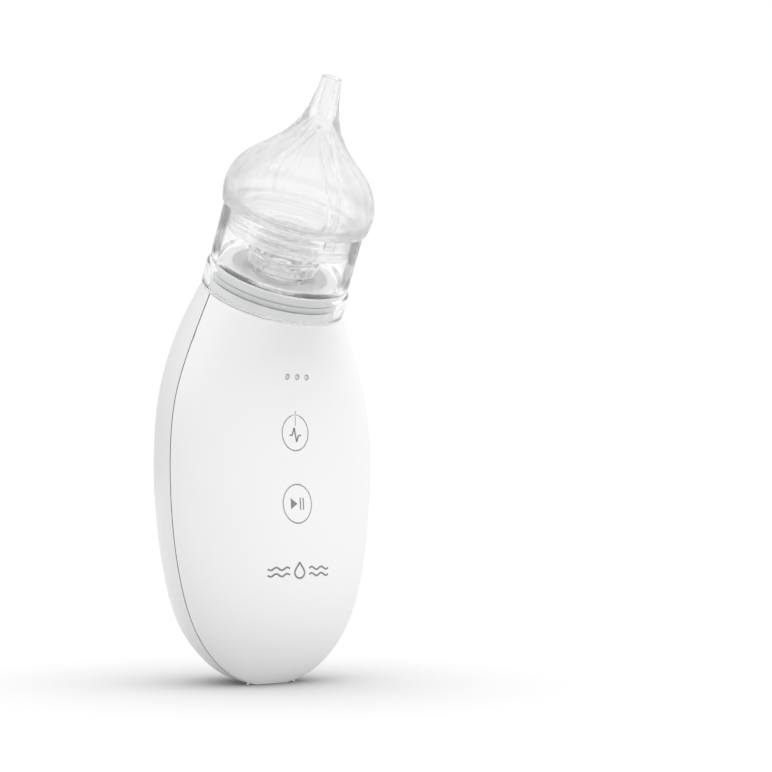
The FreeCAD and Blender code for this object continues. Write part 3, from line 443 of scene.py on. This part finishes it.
def uneven_gloss():
    """Roughness that rises where the surface has been handled, with faint wipe marks."""
    tree, given, out = effect("uneven_gloss", [("Roughness", NUMBER, 0.3), ("Spread", NUMBER, 0.05),
                                               ("Patch", NUMBER, 5.0)], [("Roughness", NUMBER)])
    place = add(tree, "TexCoord").outputs["Object"]
    drawn = add(tree, "Mapping", {"Vector": place, "Scale": (1.0, 1.0, 0.25)}).outputs[0]
    cloud = add(tree, "TexNoise", {"Vector": drawn, "Scale": per_mm(tree, given["Patch"]),
                                   "Detail": 6.0, "Roughness": 0.65}).outputs["Fac"]
    centred = add(tree, "Math", {0: cloud, 1: 0.5}, operation="SUBTRACT").outputs[0]
    rough = add(tree, "Math", {0: centred, 1: given["Spread"], 2: given["Roughness"]},
                operation="MULTIPLY_ADD", use_clamp=True).outputs[0]
    plug(tree, out, {"Roughness": rough})
    return tree


def turning_marks():
    """Fine parallel lines left by turning or rolling."""
    tree, given, out = effect("turning_marks", [("Spacing", NUMBER, 0.3), ("Depth", NUMBER, 0.2)],
                              [("Normal", VECTOR)])
    place = add(tree, "TexCoord").outputs["Object"]
    flat = add(tree, "Mapping", {"Vector": place, "Scale": (0.04, 0.04, 1.0)}).outputs[0]
    lines = add(tree, "TexNoise", {"Vector": flat, "Scale": per_mm(tree, given["Spacing"]),
                                   "Detail": 3.0}).outputs["Fac"]
    bump = add(tree, "Bump", {"Strength": given["Depth"], "Distance": 0.0001, "Height": lines})
    plug(tree, out, {"Normal": bump.outputs["Normal"]})
    return tree


def open_fibres():
    """The matted surface of felt and foam: a normal and a mask of its hollows."""
    tree, given, out = effect("open_fibres", [("Cell", NUMBER, 0.5), ("Depth", NUMBER, 0.8)],
                              [("Normal", VECTOR), ("Hollows", NUMBER)])
    place = add(tree, "TexCoord").outputs["Object"]
    scale = per_mm(tree, given["Cell"])
    cells = add(tree, "TexVoronoi", {"Vector": place, "Scale": scale}).outputs["Distance"]
    hairs = add(tree, "TexNoise", {"Vector": place, "Scale": scale, "Detail": 5.0,
                                   "Distortion": 1.5}).outputs["Fac"]
    height = add(tree, "Math", {0: cells, 1: hairs}, operation="MULTIPLY").outputs[0]
    bump = add(tree, "Bump", {"Strength": given["Depth"], "Distance": 0.0003, "Height": height})
    plug(tree, out, {"Normal": bump.outputs["Normal"], "Hollows": height})
    return tree


# ---------------------------------------------------------------- materials
WHITE = (0.9, 0.9, 0.905)


def blank(name):
    material = bpy.data.materials.new(name)
    material.use_nodes = True
    return material, material.node_tree, material.node_tree.nodes["Principled BSDF"]


def surface(name, colour, roughness, drift=0.04, patch=8.0, spread=0.08, grain=(0.35, 0.08),
            lines=None, fibres=None, **shader_values):
    """A material from the shared effects; the rest goes straight on the shader."""
    material, tree, shader = blank(name)
    tone = used(tree, GROUPS["tone_drift"],
                {"Colour": (*colour, 1), "Drift": drift, "Patch": patch})
    gloss = used(tree, GROUPS["uneven_gloss"], {"Roughness": roughness, "Spread": spread,
                                                "Patch": patch * 0.5})
    if lines:
        texture = used(tree, GROUPS["turning_marks"], {"Spacing": lines[0], "Depth": lines[1]})
    elif fibres:
        texture = used(tree, GROUPS["open_fibres"], {"Cell": fibres[0], "Depth": fibres[1]})
    else:
        texture = used(tree, GROUPS["moulded_grain"], {"Grain": grain[0], "Depth": grain[1]})
    plug(tree, shader, {"Base Color": tone["Colour"], "Roughness": gloss["Roughness"],
                        "Normal": texture["Normal"]})
    for label, value in shader_values.items():
        shader.inputs[label.replace("_", " ")].default_value = value
    return material


def shell_plastic():
    """The white of both mouldings; the one behind the seam is painted a shade darker, a painted
    shade for the side of the body turned from the light.
    """
    material = surface("white_shell", WHITE, 0.3, 0.012, 14, 0.06, (0.3, 0.03), Coat_Weight=0.25,
                       Coat_Roughness=0.18)
    tree, shader = material.node_tree, material.node_tree.nodes["Principled BSDF"]
    drifting = shader.inputs["Base Color"].links[0].from_socket
    depth = add(tree, "SeparateXYZ", {0: add(tree, "TexCoord").outputs["Object"]}).outputs["Y"]
    # Painted shade: the half behind the seam gets a darker colour, standing in for the shade on the
    # side turned from the light, not a different plastic.
    behind = add(tree, "Math", {0: depth, 1: PART_Y * MM}, operation="GREATER_THAN").outputs[0]
    shade = add(tree, "Mix", {"Factor": behind, "A": 1.0, "B": 0.93}, data_type="FLOAT").outputs[0]
    plug(tree, shader, {"Base Color": add(tree, "VectorMath", {0: drifting, "Scale": shade},
                                          operation="SCALE").outputs[0]})
    return material


def clear(name, roughness, share, grain, **shader_values):
    """A see-through material, fuller where it is seen edge on (the two shares); lamp light
    passes it almost straight on to what lies inside."""
    material = surface(name, (1.0, 1.0, 1.0), roughness, 0.0, 9, 0.05 * roughness, grain,
                       **shader_values)
    tree = material.node_tree
    path = add(tree, "LightPath").outputs
    soft = add(tree, "Math", {0: path["Is Shadow Ray"], 1: path["Is Diffuse Ray"]},
               operation="MAXIMUM").outputs[0]
    tilt = add(tree, "LayerWeight", {"Blend": 0.5}).outputs["Facing"]
    met = add(tree, "MapRange", {"Value": tilt, "From Min": 0.35, "From Max": 0.95,
                                 "To Min": share[0], "To Max": share[1]}).outputs[0]
    share = add(tree, "Mix", {"Factor": soft, "A": met, "B": 0.08}, data_type="FLOAT").outputs[0]
    plug(tree, tree.nodes["Principled BSDF"], {"Alpha": share})
    return material


def solder_mask():
    """Green lacquer with paler tracks under it and small tinned pads."""
    material, tree, shader = blank("solder_mask")
    place = add(tree, "TexCoord").outputs["Object"]
    tracks = add(tree, "TexBrick", {"Vector": add(tree, "Mapping", {
        "Vector": place, "Rotation": (math.pi / 2, 0, 0.0)}).outputs[0], "Scale": 1 / (2.2 * MM),
        "Mortar Size": 0.09, "Color1": (0.01, 0.12, 0.05, 1), "Color2": (0.012, 0.15, 0.06, 1),
        "Mortar": (0.03, 0.26, 0.12, 1)}, offset=0.37)
    pads = add(tree, "TexVoronoi", {"Vector": place, "Scale": 1 / (3.1 * MM)}).outputs["Distance"]
    tinned = add(tree, "Math", {0: pads, 1: 0.13}, operation="LESS_THAN").outputs[0]
    colour = add(tree, "Mix", {0: tinned, 6: tracks.outputs["Color"], 7: (0.62, 0.62, 0.6, 1)},
                 data_type="RGBA").outputs[2]
    bump = add(tree, "Bump", {"Strength": 0.3, "Distance": 0.0001, "Height": tracks.outputs["Fac"]})
    gloss = used(tree, GROUPS["uneven_gloss"], {"Roughness": 0.28, "Spread": 0.1, "Patch": 3.0})
    plug(tree, shader, {"Base Color": colour, "Metallic": tinned, "Normal": bump.outputs["Normal"],
                        "Roughness": gloss["Roughness"]})
    return material


def wound_copper():
    """Enamelled wire: close parallel turns with a dark line between them."""
    material, tree, shader = blank("wound_copper")
    place = add(tree, "TexCoord").outputs["Object"]
    turns = add(tree, "TexWave", {"Vector": place, "Scale": 1 / (2.4 * MM), "Distortion": 0.4},
                bands_direction="Z").outputs["Fac"]
    colour = add(tree, "Mix", {0: turns, 6: (0.22, 0.07, 0.02, 1), 7: (0.75, 0.34, 0.16, 1)},
                 data_type="RGBA").outputs[2]
    bump = add(tree, "Bump", {"Strength": 0.7, "Distance": 0.0002, "Height": turns})
    gloss = used(tree, GROUPS["uneven_gloss"], {"Roughness": 0.3, "Spread": 0.12, "Patch": 2.0})
    plug(tree, shader, {"Base Color": colour, "Metallic": 0.9, "Normal": bump.outputs["Normal"],
                        "Roughness": gloss["Roughness"]})
    return material


GROUPS = {group.name: group for group in (moulded_grain(), tone_drift(), uneven_gloss(),
                                          turning_marks(), open_fibres())}


def make_materials():
    """Every finish by the name of its slot in the record."""
    return {
        "white_shell": shell_plastic(),
        "key_cap": surface("key_cap", WHITE, 0.32, 0.012, 8, 0.06, (0.25, 0.04), Coat_Weight=0.2,
                           Coat_Roughness=0.2),
        "clear_cup": clear("clear_cup", 0.01, (0.97, 0.84), (6.0, 0.03), Transmission_Weight=1.0,
                           IOR=1.2),
        "soft_tip": clear("soft_tip", 0.14, (0.7, 0.95), (4.0, 0.06), Transmission_Weight=0.93,
                          IOR=1.33),
        "grey_cap": surface("grey_cap", (0.72, 0.725, 0.73), 0.35, 0.05, 6, 0.1, (0.3, 0.08)),
        "baffle": clear("baffle", 0.03, (1.0, 1.0), (1.0, 0.04), Transmission_Weight=0.9, IOR=1.4),
        "seal": surface("seal", (0.6, 0.61, 0.62), 0.5, 0.06, 4, 0.1, (0.2, 0.15)),
        "silicone_tube": surface("silicone_tube", (0.86, 0.87, 0.86), 0.25, 0.03, 5, 0.08,
                                 (1.5, 0.08), Transmission_Weight=0.5, IOR=1.41),
        "filter_felt": surface("filter_felt", (0.84, 0.84, 0.81), 0.9, 0.08, 1.5, 0.05,
                               fibres=(0.25, 0.9)),
        "frame_plastic": surface("frame_plastic", (0.7, 0.7, 0.67), 0.45, 0.05, 7, 0.1,
                                 (0.4, 0.12)),
        "circuit_board": solder_mask(),
        "chip_black": surface("chip_black", (0.02, 0.02, 0.022), 0.5, 0.2, 1, 0.15, (0.12, 0.3)),
        "switch_metal": surface("switch_metal", (0.62, 0.62, 0.6), 0.3, 0.08, 2, 0.15,
                                lines=(0.12, 0.25), Metallic=1.0),
        "plunger_black": surface("plunger_black", (0.03, 0.03, 0.03), 0.45, 0.1, 1, 0.1,
                                 (0.2, 0.15)),
        "led": surface("led", (0.85, 0.78, 0.4), 0.25, 0.1, 0.6, 0.1, (0.2, 0.1)),
        "light_guide": surface("light_guide", (0.86, 0.865, 0.87), 0.25, 0.05, 1.0, 0.1, (0.3, 0.1),
                               Transmission_Weight=0.2),
        "motor_steel": surface("motor_steel", (0.55, 0.55, 0.56), 0.32, 0.1, 6, 0.18,
                               lines=(0.25, 0.3), Metallic=1.0),
        "motor_plastic": surface("motor_plastic", (0.035, 0.035, 0.04), 0.45, 0.1, 4, 0.12,
                                 (0.3, 0.15)),
        "magnet": surface("magnet", (0.06, 0.06, 0.065), 0.7, 0.25, 1.2, 0.15, (0.25, 0.5)),
        "copper": wound_copper(),
        "steel": surface("steel", (0.6, 0.6, 0.6), 0.22, 0.06, 3, 0.12, lines=(0.15, 0.25),
                         Metallic=1.0),
        "pump_plastic": surface("pump_plastic", (0.05, 0.05, 0.055), 0.48, 0.12, 5, 0.12,
                                (0.35, 0.15)),
        "rubber_black": surface("rubber_black", (0.025, 0.025, 0.025), 0.65, 0.15, 2.5, 0.12,
                                (0.18, 0.25)),
        "screw_steel": surface("screw_steel", (0.3, 0.3, 0.31), 0.3, 0.1, 1.5, 0.15,
                               lines=(0.2, 0.3), Metallic=1.0),
        "cell_wrap": surface("cell_wrap", (0.03, 0.09, 0.32), 0.2, 0.06, 9, 0.1, (2.5, 0.15),
                             Coat_Weight=0.5),
        "foam": surface("foam", (0.035, 0.035, 0.035), 0.95, 0.3, 1.0, 0.04, fibres=(0.6, 1.0)),
        "lead_red": surface("lead_red", (0.45, 0.02, 0.015), 0.35, 0.08, 3, 0.1, (0.3, 0.1)),
        "port_soft": surface("port_soft", (0.8, 0.8, 0.805), 0.5, 0.03, 5, 0.08, (0.2, 0.12)),
        "grey_ink": surface("grey_ink", (0.25, 0.25, 0.255), 0.45, 0.12, 0.7, 0.1, (0.15, 0.2)),
        "pale_floor": surface("pale_floor", (0.217, 0.217, 0.217), 0.4, 0.01, 400, 0.04,
                              (40.0, 0.01),
                              Specular_IOR_Level=0.0),
    }


# ---------------------------------------------------------------- body pieces
KEYS = {"power": (65.0, 4.0, 4.6), "play": (46.8, 4.35, 5.0)}
LED_HEIGHT, LED_PITCH = 79.4, 2.9
SCREWS = [(-19.0, 38.0), (19.0, 38.0), (-17.0, 84.0), (17.0, 84.0)]
PORT_HEIGHT = 13.8
FLAP_LOW, FLAP_HIGH, FLAP_HALF = 9.4, 19.4, 7.4


def seated(piece):
    """No point of the piece hangs below the sole."""
    with editing(piece):
        pick(piece, lambda p: p.z < 0)
        bpy.ops.transform.resize(value=(1, 1, 0), center_override=(0, 0, 0))
    return piece


def hollow(skin, name, front):
    """One half of the body with its wall, rim and sole."""
    shell = copy_of(skin, name)
    modified(shell, "SOLIDIFY", thickness=WALL * MM, offset=-1, use_even_offset=True)
    half = one_side(shell, name + "_half", front)
    bpy.data.objects.remove(shell)
    half.name = name
    return half


def seam_shadow_strip(skin):
    """A thin grey strip in the gap between the two mouldings, a little below their surface: painted
    shade, a dark sheet where the gap holds only shadow.
    """
    strip = copy_of(skin, "seam_shadow_strip")
    with editing(strip):
        bpy.ops.transform.shrink_fatten(value=-SEAM_DEPTH * MM)
    modified(strip, "SOLIDIFY", thickness=WALL / 2 * MM, offset=-1, use_even_offset=True)
    with editing(strip):
        for side in (-1, 1):
            bpy.ops.mesh.select_all(action="SELECT")
            bpy.ops.mesh.bisect(plane_co=(0, (PART_Y + side * (SEAM / 2 - 0.02)) * MM, 0),
                                plane_no=(0, side, 0), use_fill=True, clear_outer=True)
        clean()
    return seated(strip)


def filled(skin, name, front):
    """The same half as one solid block, a tool for what follows its surface."""
    block_of_body = copy_of(skin, name)
    with editing(block_of_body):
        pick(block_of_body, lambda p: abs(p.z - 101 - (p.y - PART_Y) * math.tan(LEAN)) < 0.01)
        bpy.ops.mesh.edge_face_add()
        clean()
    half = one_side(block_of_body, name + "_half", front)
    bpy.data.objects.remove(block_of_body)
    return half


def moved_back(solid, name, back):
    twin = copy_of(solid, name)
    return placed(twin, Matrix.Translation((0, back * MM, 0)))


def front_cover(skin):
    cover = hollow(skin, "front_cover_shell", True)
    for height, half_width, half_height in KEYS.values():
        carve(cover, bar("hole", half_width + KEY_GAP, half_height + KEY_GAP, (0, height),
                         -30, -6, sides=96))
    for i in (-1, 0, 1):
        carve(cover, bar("hole", 0.75, 0.75, (i * LED_PITCH, LED_HEIGHT), -30, -6, sides=32))
    return seated(softened(cover, 0.1, 60))


def rear_housing(skin, back_solid):
    housing = hollow(skin, "rear_housing_shell", False)
    for x, height in SCREWS:
        carve(housing, bar("counterbore", 2.45, 2.45, (x, height), 6, 40, sides=48))
    for i in (-2, -1, 0, 1, 2):
        carve(housing, bar("vent", 0.6, 0.6, (2.4 * i, 28.5), 15, 40, sides=24))
    recess = block("recess", (-FLAP_HALF - FLAP_GAP, 8, FLAP_LOW - FLAP_GAP),
                   (FLAP_HALF + FLAP_GAP, 40, FLAP_HIGH + FLAP_GAP), 2.6)
    carve(recess, moved_back(back_solid, "recess_floor", -1.65))
    carve(housing, recess)
    carve(housing, bar("port_hole", 2.35, 2.35, (0, PORT_HEIGHT), 10, 40, stretch=2.85))
    return seated(softened(housing, 0.1, 60))


def key_cap(name, solid):
    """A cap flush with the shell, its retaining flange and the stem behind it."""
    height, half_width, half_height = KEYS[name]
    cap = bar(name + "_key_cap", half_width, half_height, (0, height), -30, -5.2, sides=96)
    carve(cap, solid, "INTERSECT", keep_tool=True)
    flange = bar("flange", half_width + 0.8, half_height + 0.8, (0, height), -30, -5.2, sides=96)
    carve(flange, moved_back(solid, "flange_face", 2.35), "INTERSECT")
    carve(cap, flange, "UNION")
    carve(cap, moved_back(solid, "cap_back", 2.95))
    front = max(v.co.y for v in cap.data.vertices) / MM
    stem = bar("stem", 1.5, 1.5, (0, height), front - 0.6, -13.3, sides=32)
    carve(cap, stem, "UNION")
    return softened(cap, 0.07, 50)


def port_flap(back_solid):
    """A soft flap that follows the shell, with a plug on its inside."""
    flap = block("port_flap_cover", (-FLAP_HALF, 8, FLAP_LOW), (FLAP_HALF, 40, FLAP_HIGH), 2.6)
    carve(flap, back_solid, "INTERSECT", keep_tool=True)
    carve(flap, moved_back(back_solid, "flap_inside", -1.5))
    plug_bar = bar("plug", 1.5, 1.5, (0, PORT_HEIGHT), 10, 40, stretch=3.1, sides=48)
    carve(plug_bar, moved_back(back_solid, "plug_near", -1.4), "INTERSECT")
    carve(plug_bar, moved_back(back_solid, "plug_far", -2.7))
    carve(flap, plug_bar, "UNION")
    return softened(flap, 0.15, 50)


def light_pins(front_solid):
    """Three pins that end a little below the surface, on the bar that joins them."""
    pins = joined(*[bar("light_pins", 0.56, 0.56, (i * LED_PITCH, LED_HEIGHT), -30, -12.6, sides=32)
                    for i in (-1, 0, 1)])
    carve(pins, moved_back(front_solid, "pin_ends", 0.2), "INTERSECT")
    carve(pins, block("guide_bar", (-4.1, -13.6, LED_HEIGHT - 0.9),
                      (4.1, -12.9, LED_HEIGHT + 0.9), 0.3),
          "UNION")
    return softened(pins, 0.08, 50)


def screw_plugs(back_solid):
    plugs = [bar("screw_plugs", 2.4, 2.4, spot, 5.9, 40, sides=48) for spot in SCREWS]
    piece = joined(*plugs)
    piece.name = "screw_plugs"
    carve(piece, back_solid, "INTERSECT", keep_tool=True)
    return softened(piece, 0.12, 50)


# ---------------------------------------------------------------- head pieces
def neck_plug():
    return turned("neck_plug", [
        (1.1, -9.5), (2.0, -9.5), (2.0, -3.0), (16.6, -3.0), (16.6, 0), (16.2, 0), (16.2, 2.5),
        (14.7, 2.5), (14.7, 4.3), (16.2, 4.3), (16.2, 6.4), (13.2, 6.4), (13.2, 1.5), (5.6, 1.5),
        (5.6, 6.0), (4.5, 6.0), (4.5, 4.6), (1.1, 4.6), (1.1, -9.5)], 0.2)


def seal_ring():
    middle, radius, height = 15.6, 0.85, 3.4
    outline = [(middle + radius * math.cos(a), height + radius * math.sin(a))
               for a in [2 * math.pi * i / 24 for i in range(25)]]
    return turned("seal_ring", outline, 0)


def filter_pad():
    return turned("filter_pad", [(0, 4.65), (4.35, 4.65), (4.35, 5.8), (0, 5.9)], 0.3, 96)


def cup():
    return turned("clear_collection_cup", [
        (16.5, 0.25), (19.15, 0.25), (19.15, 6.2), (18.6, 6.7), (18.6, 23.2), (17.3, 23.2),
        (17.3, 8.4), (5.2, 8.4), (5.2, 13.0), (3.0, 13.0), (3.0, 6.8), (5.9, 6.8), (5.9, 4.6),
        (7.2, 4.6), (7.2, 6.8), (16.5, 6.8), (16.5, 0.25)], 0.22, 160)


def baffle():
    shell = turned("clear_baffle", [
        (5.28, 9.0), (6.6, 9.0), (6.6, 11.2), (8.6, 11.2), (8.6, 8.7), (9.8, 8.7), (9.8, 12.3),
        (8.4, 12.3), (8.4, 15.6), (4.6, 15.6), (4.6, 15.0), (0, 15.0), (0, 14.2), (5.28, 14.2),
        (5.28, 9.0)], 0.2, 96, leaning=False)
    for low, high in (((-12, -1.5, 13.1), (12, 1.5, 14.2)), ((-1.5, -12, 13.1), (1.5, 12, 14.2))):
        window = start("window", bpy.ops.mesh.primitive_cube_add, size=MM,
                       location=(Vector(low) + Vector(high)) / 2 * MM,
                       scale=Vector(high) - Vector(low))
        carve(shell, placed(window))
    softened(shell, 0.06, 50)
    return placed(shell, ON_NECK)


TIP_RADIUS, TIP_HEIGHT, TIP_BASE = 19.9, 37.4, 23.3
TIP_OUTSIDE = [(0.97, 0.0), (1.0, 0.10), (0.955, 0.24), (0.75, 0.39), (0.467, 0.527),
               (0.28, 0.666), (0.19, 0.80), (0.145, 0.93), (0.125, 1.0)]
TIP_INSIDE = [(0.754, 0.0), (0.855, 0.07), (0.865, 0.18), (0.735, 0.315), (0.515, 0.425),
              (0.315, 0.53), (0.165, 0.64)]
BORE, BORE_LOW = 1.3, 27.4


def tip_curve(shares, last=None):
    points = [(r * TIP_RADIUS, h * TIP_HEIGHT) for r, h in shares] + ([last] if last else [])
    return [tuple(p) for p in smooth_rows(points, 6)]


def on_tip(outline):
    return [(radius, height + TIP_BASE) for radius, height in outline]


def nozzle():
    """The soft bulb with its tube, beaded skirt, inner ribs and index tab."""
    outside = tip_curve(TIP_OUTSIDE)
    inside = tip_curve(TIP_INSIDE, (BORE, BORE_LOW))
    skirt = [(15.0, 0.0), (15.0, -6.9), (16.25, -6.9), (16.75, -6.4)]
    for middle in (-4.69, -2.35):
        skirt += [(16.75 + 0.5 * math.sin(a), middle - 0.7 * math.cos(a))
                  for a in [math.pi * i / 8 for i in range(9)]]
    outline = outside + [(BORE, TIP_HEIGHT)] + inside[::-1] + skirt + [(16.75, 0.0), outside[0]]
    bulb = turned("silicone_nozzle", on_tip(outline), 0.1, 160, leaning=False)
    tab = block("tab", (-1.5, -19.6, TIP_BASE - 2.2), (1.5, -18.8, TIP_BASE + 0.4), 0.3)
    carve(bulb, tab, "UNION")
    for side in (-1, 1):
        carve(bulb, rib(side, inside), "UNION")
    choose(bulb)
    bpy.ops.object.shade_smooth_by_angle(angle=math.radians(35))
    return placed(bulb, ON_NECK)


def rib(side, inside):
    """An upright rib on the inside of the bulb, in front (-1) or behind (1)."""
    buried = [(radius + 0.4, height) for radius, height in inside if 0.5 < height < 24]
    bare = [(max(radius - 1.5, 0.25), height) for radius, height in inside if 0.5 < height < 24]
    ring = turned("rib", on_tip(buried + bare[::-1] + buried[:1]), 0, 160, leaning=False)
    y = sorted((0.0, side * 30.0))
    slab = block("slab", (-1.5, y[0], TIP_BASE - 5), (1.5, y[1], TIP_BASE + 30), 0.4)
    return carve(ring, slab, "INTERSECT")


# ---------------------------------------------------------------- printed symbols
def stroke(start_at, end_at, width):
    """A straight printed line between two (x, z) points, lying in front of the body."""
    a, b = Vector(start_at), Vector(end_at)
    run = b - a
    line = start("stroke", bpy.ops.mesh.primitive_plane_add, size=MM)
    with editing(line):
        bpy.ops.transform.resize(value=(run.length, width, 1))
        bpy.ops.mesh.subdivide(number_cuts=5)
    turn = Matrix.Rotation(-math.atan2(run.y, run.x), 4, "Y") @ Matrix.Rotation(math.pi / 2, 4, "X")
    middle = (a + b) / 2
    return placed(line, Matrix.Translation(Vector((middle.x, -30, middle.y)) * MM) @ turn)


def strokes(points, width):
    return [stroke(a, b, width) for a, b in zip(points, points[1:])]


def triangle(middle, half_width, half_height):
    """A solid printed triangle that points to the right."""
    piece = start("triangle", bpy.ops.mesh.primitive_circle_add, vertices=3, radius=MM,
                  fill_type="NGON", rotation=(math.pi / 2, math.pi / 2, 0))
    placed(piece)
    with editing(piece):
        low = [min(v.co[k] for v in piece.data.vertices) / MM for k in (0, 2)]
        high = [max(v.co[k] for v in piece.data.vertices) / MM for k in (0, 2)]
        bpy.ops.transform.resize(value=(2 * half_width / (high[0] - low[0]), 1,
                                        2 * half_height / (high[1] - low[1])))
        bpy.ops.mesh.subdivide(number_cuts=3)
    return placed(piece, Matrix.Translation(Vector((middle[0], -30, middle[1])) * MM))


def ring(middle, half_width, half_height, width, gap=0.0, sides=120):
    """A printed oval line, open at the top where it has a gap (the half gap in mm)."""
    piece = start("ring", bpy.ops.mesh.primitive_circle_add, vertices=sides, radius=MM,
                  rotation=(math.pi / 2, 0, 0))
    placed(piece)
    with editing(piece):
        bpy.ops.transform.resize(value=(half_width, 1, half_height))
        bpy.ops.mesh.extrude_region_move()
        bpy.ops.transform.resize(value=(1 - width / half_width, 1, 1 - width / half_height))
        if gap:
            pick(piece, lambda p: p.z > 0 and abs(p.x) < gap)
            bpy.ops.mesh.delete(type="VERT")
    return placed(piece, Matrix.Translation(Vector((middle[0], -30, middle[1])) * MM))


def printed(name, solid, *parts):
    """Joins flat parts, lays them on the surface and gives them the thickness of ink."""
    piece = joined(*parts)
    piece.name = name
    modified(piece, "SHRINKWRAP", target=solid, wrap_method="PROJECT", use_project_y=True,
             use_positive_direction=True, use_negative_direction=False, offset=0.0)
    with editing(piece):
        bpy.ops.mesh.remove_doubles(threshold=1e-7)
        bpy.ops.mesh.normals_make_consistent(inside=False)
    modified(piece, "SOLIDIFY", thickness=0.03 * MM, offset=0)
    with editing(piece):
        bpy.ops.mesh.normals_make_consistent(inside=False)
    return piece


def drop(middle, radius):
    """The outline of a water drop."""
    points = []
    for i in range(25):
        a = -math.pi / 2 + 2 * math.pi * i / 24
        rise = math.sin(a)
        pull = 1.0 if rise < 0 else 1 - rise ** 1.5
        points.append((middle[0] + radius * math.cos(a) * pull,
                       middle[1] + radius * rise * (1.0 if rise < 0 else 1.75)))
    return points


def symbols(solid):
    """The printed marks: on each key, and on the cover above and below the keys."""
    height, half_width, half_height = KEYS["power"]
    power = [ring((0, height), half_width - 0.05, half_height - 0.05, 0.16, gap=1.15)]
    power += strokes([(0, height + 1.9), (0, height + 4.4)], 0.18)
    power += strokes([(-1.75, height - 0.6), (-0.95, height - 0.6), (-0.35, height + 1.35),
                      (0.35, height - 2.3), (0.95, height - 0.6), (1.75, height - 0.6)], 0.42)
    front = strokes([(0, height + 4.85), (0, height + 5.7)], 0.18)
    height, half_width, half_height = KEYS["play"]
    play = [ring((0, height), half_width - 0.05, half_height - 0.05, 0.16),
            triangle((-1.3, height), 1.0, 1.45)]
    for x in (0.85, 1.75):
        play += strokes([(x, height - 1.55), (x, height + 1.55)], 0.36)
    front += strokes(drop((0, 29.3), 1.5), 0.5)
    for side in (-1, 1):
        for rise in (-0.8, 0.8):
            wave = [(side * (2.9 + 0.52 * i), 29.5 + rise + 0.4 * math.sin(i * math.pi / 3))
                    for i in range(13)]
            front += strokes(wave, 0.5)
    return (printed("power_key_print", solid, *power), printed("play_key_print", solid, *play),
            printed("front_mark_print", solid, *front))


# ---------------------------------------------------------------- the whole scene
INNER_FINISHES = {
    "power_switch_plunger": "plunger_black",
    "play_switch_plunger": "plunger_black", "power_tact_switch": "switch_metal",
    "play_tact_switch": "switch_metal", "motor_can": "motor_steel",
    "motor_end_cap": "motor_plastic",
    "motor_magnet_ring": "magnet", "motor_shaft": "steel", "motor_armature": "copper",
    "crank_hub": "steel", "pump_casing": "pump_plastic", "rocker_plate": "pump_plastic",
    "diaphragm": "rubber_black", "valve_plate": "pump_plastic", "pump_cover": "pump_plastic",
    "pump_screws": "screw_steel", "pump_damper_sleeve": "rubber_black",
    "suction_tube": "silicone_tube", "inner_frame": "frame_plastic",
    "main_circuit_board": "circuit_board", "board_components": "chip_black",
    "board_screws": "screw_steel", "led_chips": "led", "battery_cell": "cell_wrap",
    "battery_foam_pads": "foam", "charging_board": "circuit_board",
    "charging_socket": "switch_metal",
    "motor_leads": "lead_red", "battery_leads": "lead_red", "charging_leads": "lead_red",
    "shell_screws": "screw_steel",
}

camera()
studio()
FINISHES = make_materials()

skin = body_skin()
front_solid, back_solid = filled(skin, "front_solid", True), filled(skin, "back_solid", False)

finished(front_cover(skin), "handle", FINISHES["white_shell"], "white_shell", "front_cover")
finished(rear_housing(skin, back_solid), "handle", FINISHES["white_shell"], "white_shell",
         "rear_housing")
# The seam strip is painted shade: a grey sheet in the gap between the mouldings, where there is
# only shadow.
finished(seam_shadow_strip(skin), "handle", FINISHES["seal"], "seal")
finished(screw_plugs(back_solid), "handle", FINISHES["port_soft"], "port_soft", "screw_hole_plugs")
finished(light_pins(front_solid), "handle", FINISHES["light_guide"], "light_guide",
         "led_light_guide")
finished(port_flap(back_solid), "port_flap", FINISHES["port_soft"], "port_soft", "port_cover")
for name in KEYS:
    finished(key_cap(name, front_solid), name + "_key", FINISHES["key_cap"], "key_cap",
             name + "_button")
for piece, body in zip(symbols(front_solid), ("power_key", "play_key", "handle")):
    finished(piece, body, FINISHES["grey_ink"], "key_cap")

finished(neck_plug(), "handle", FINISHES["grey_cap"], "grey_cap", "neck_cap")
finished(seal_ring(), "handle", FINISHES["seal"], "seal", "spigot_o_ring")
finished(filter_pad(), "handle", FINISHES["filter_felt"], "filter_felt", "filter_disc")
finished(cup(), "cup", FINISHES["clear_cup"], "clear_cup", "collection_cup")
finished(baffle(), "baffle", FINISHES["baffle"], "baffle", "baffle_cap")
finished(nozzle(), "nozzle", FINISHES["soft_tip"], "soft_tip", "nozzle_tip")

for tool in (skin, front_solid, back_solid):
    bpy.data.objects.remove(tool)

for node, slot in INNER_FINISHES.items():
    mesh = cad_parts[node].data
    mesh.materials.clear()
    mesh.materials.append(FINISHES[slot])

floor_and_its_light(FINISHES["pale_floor"])
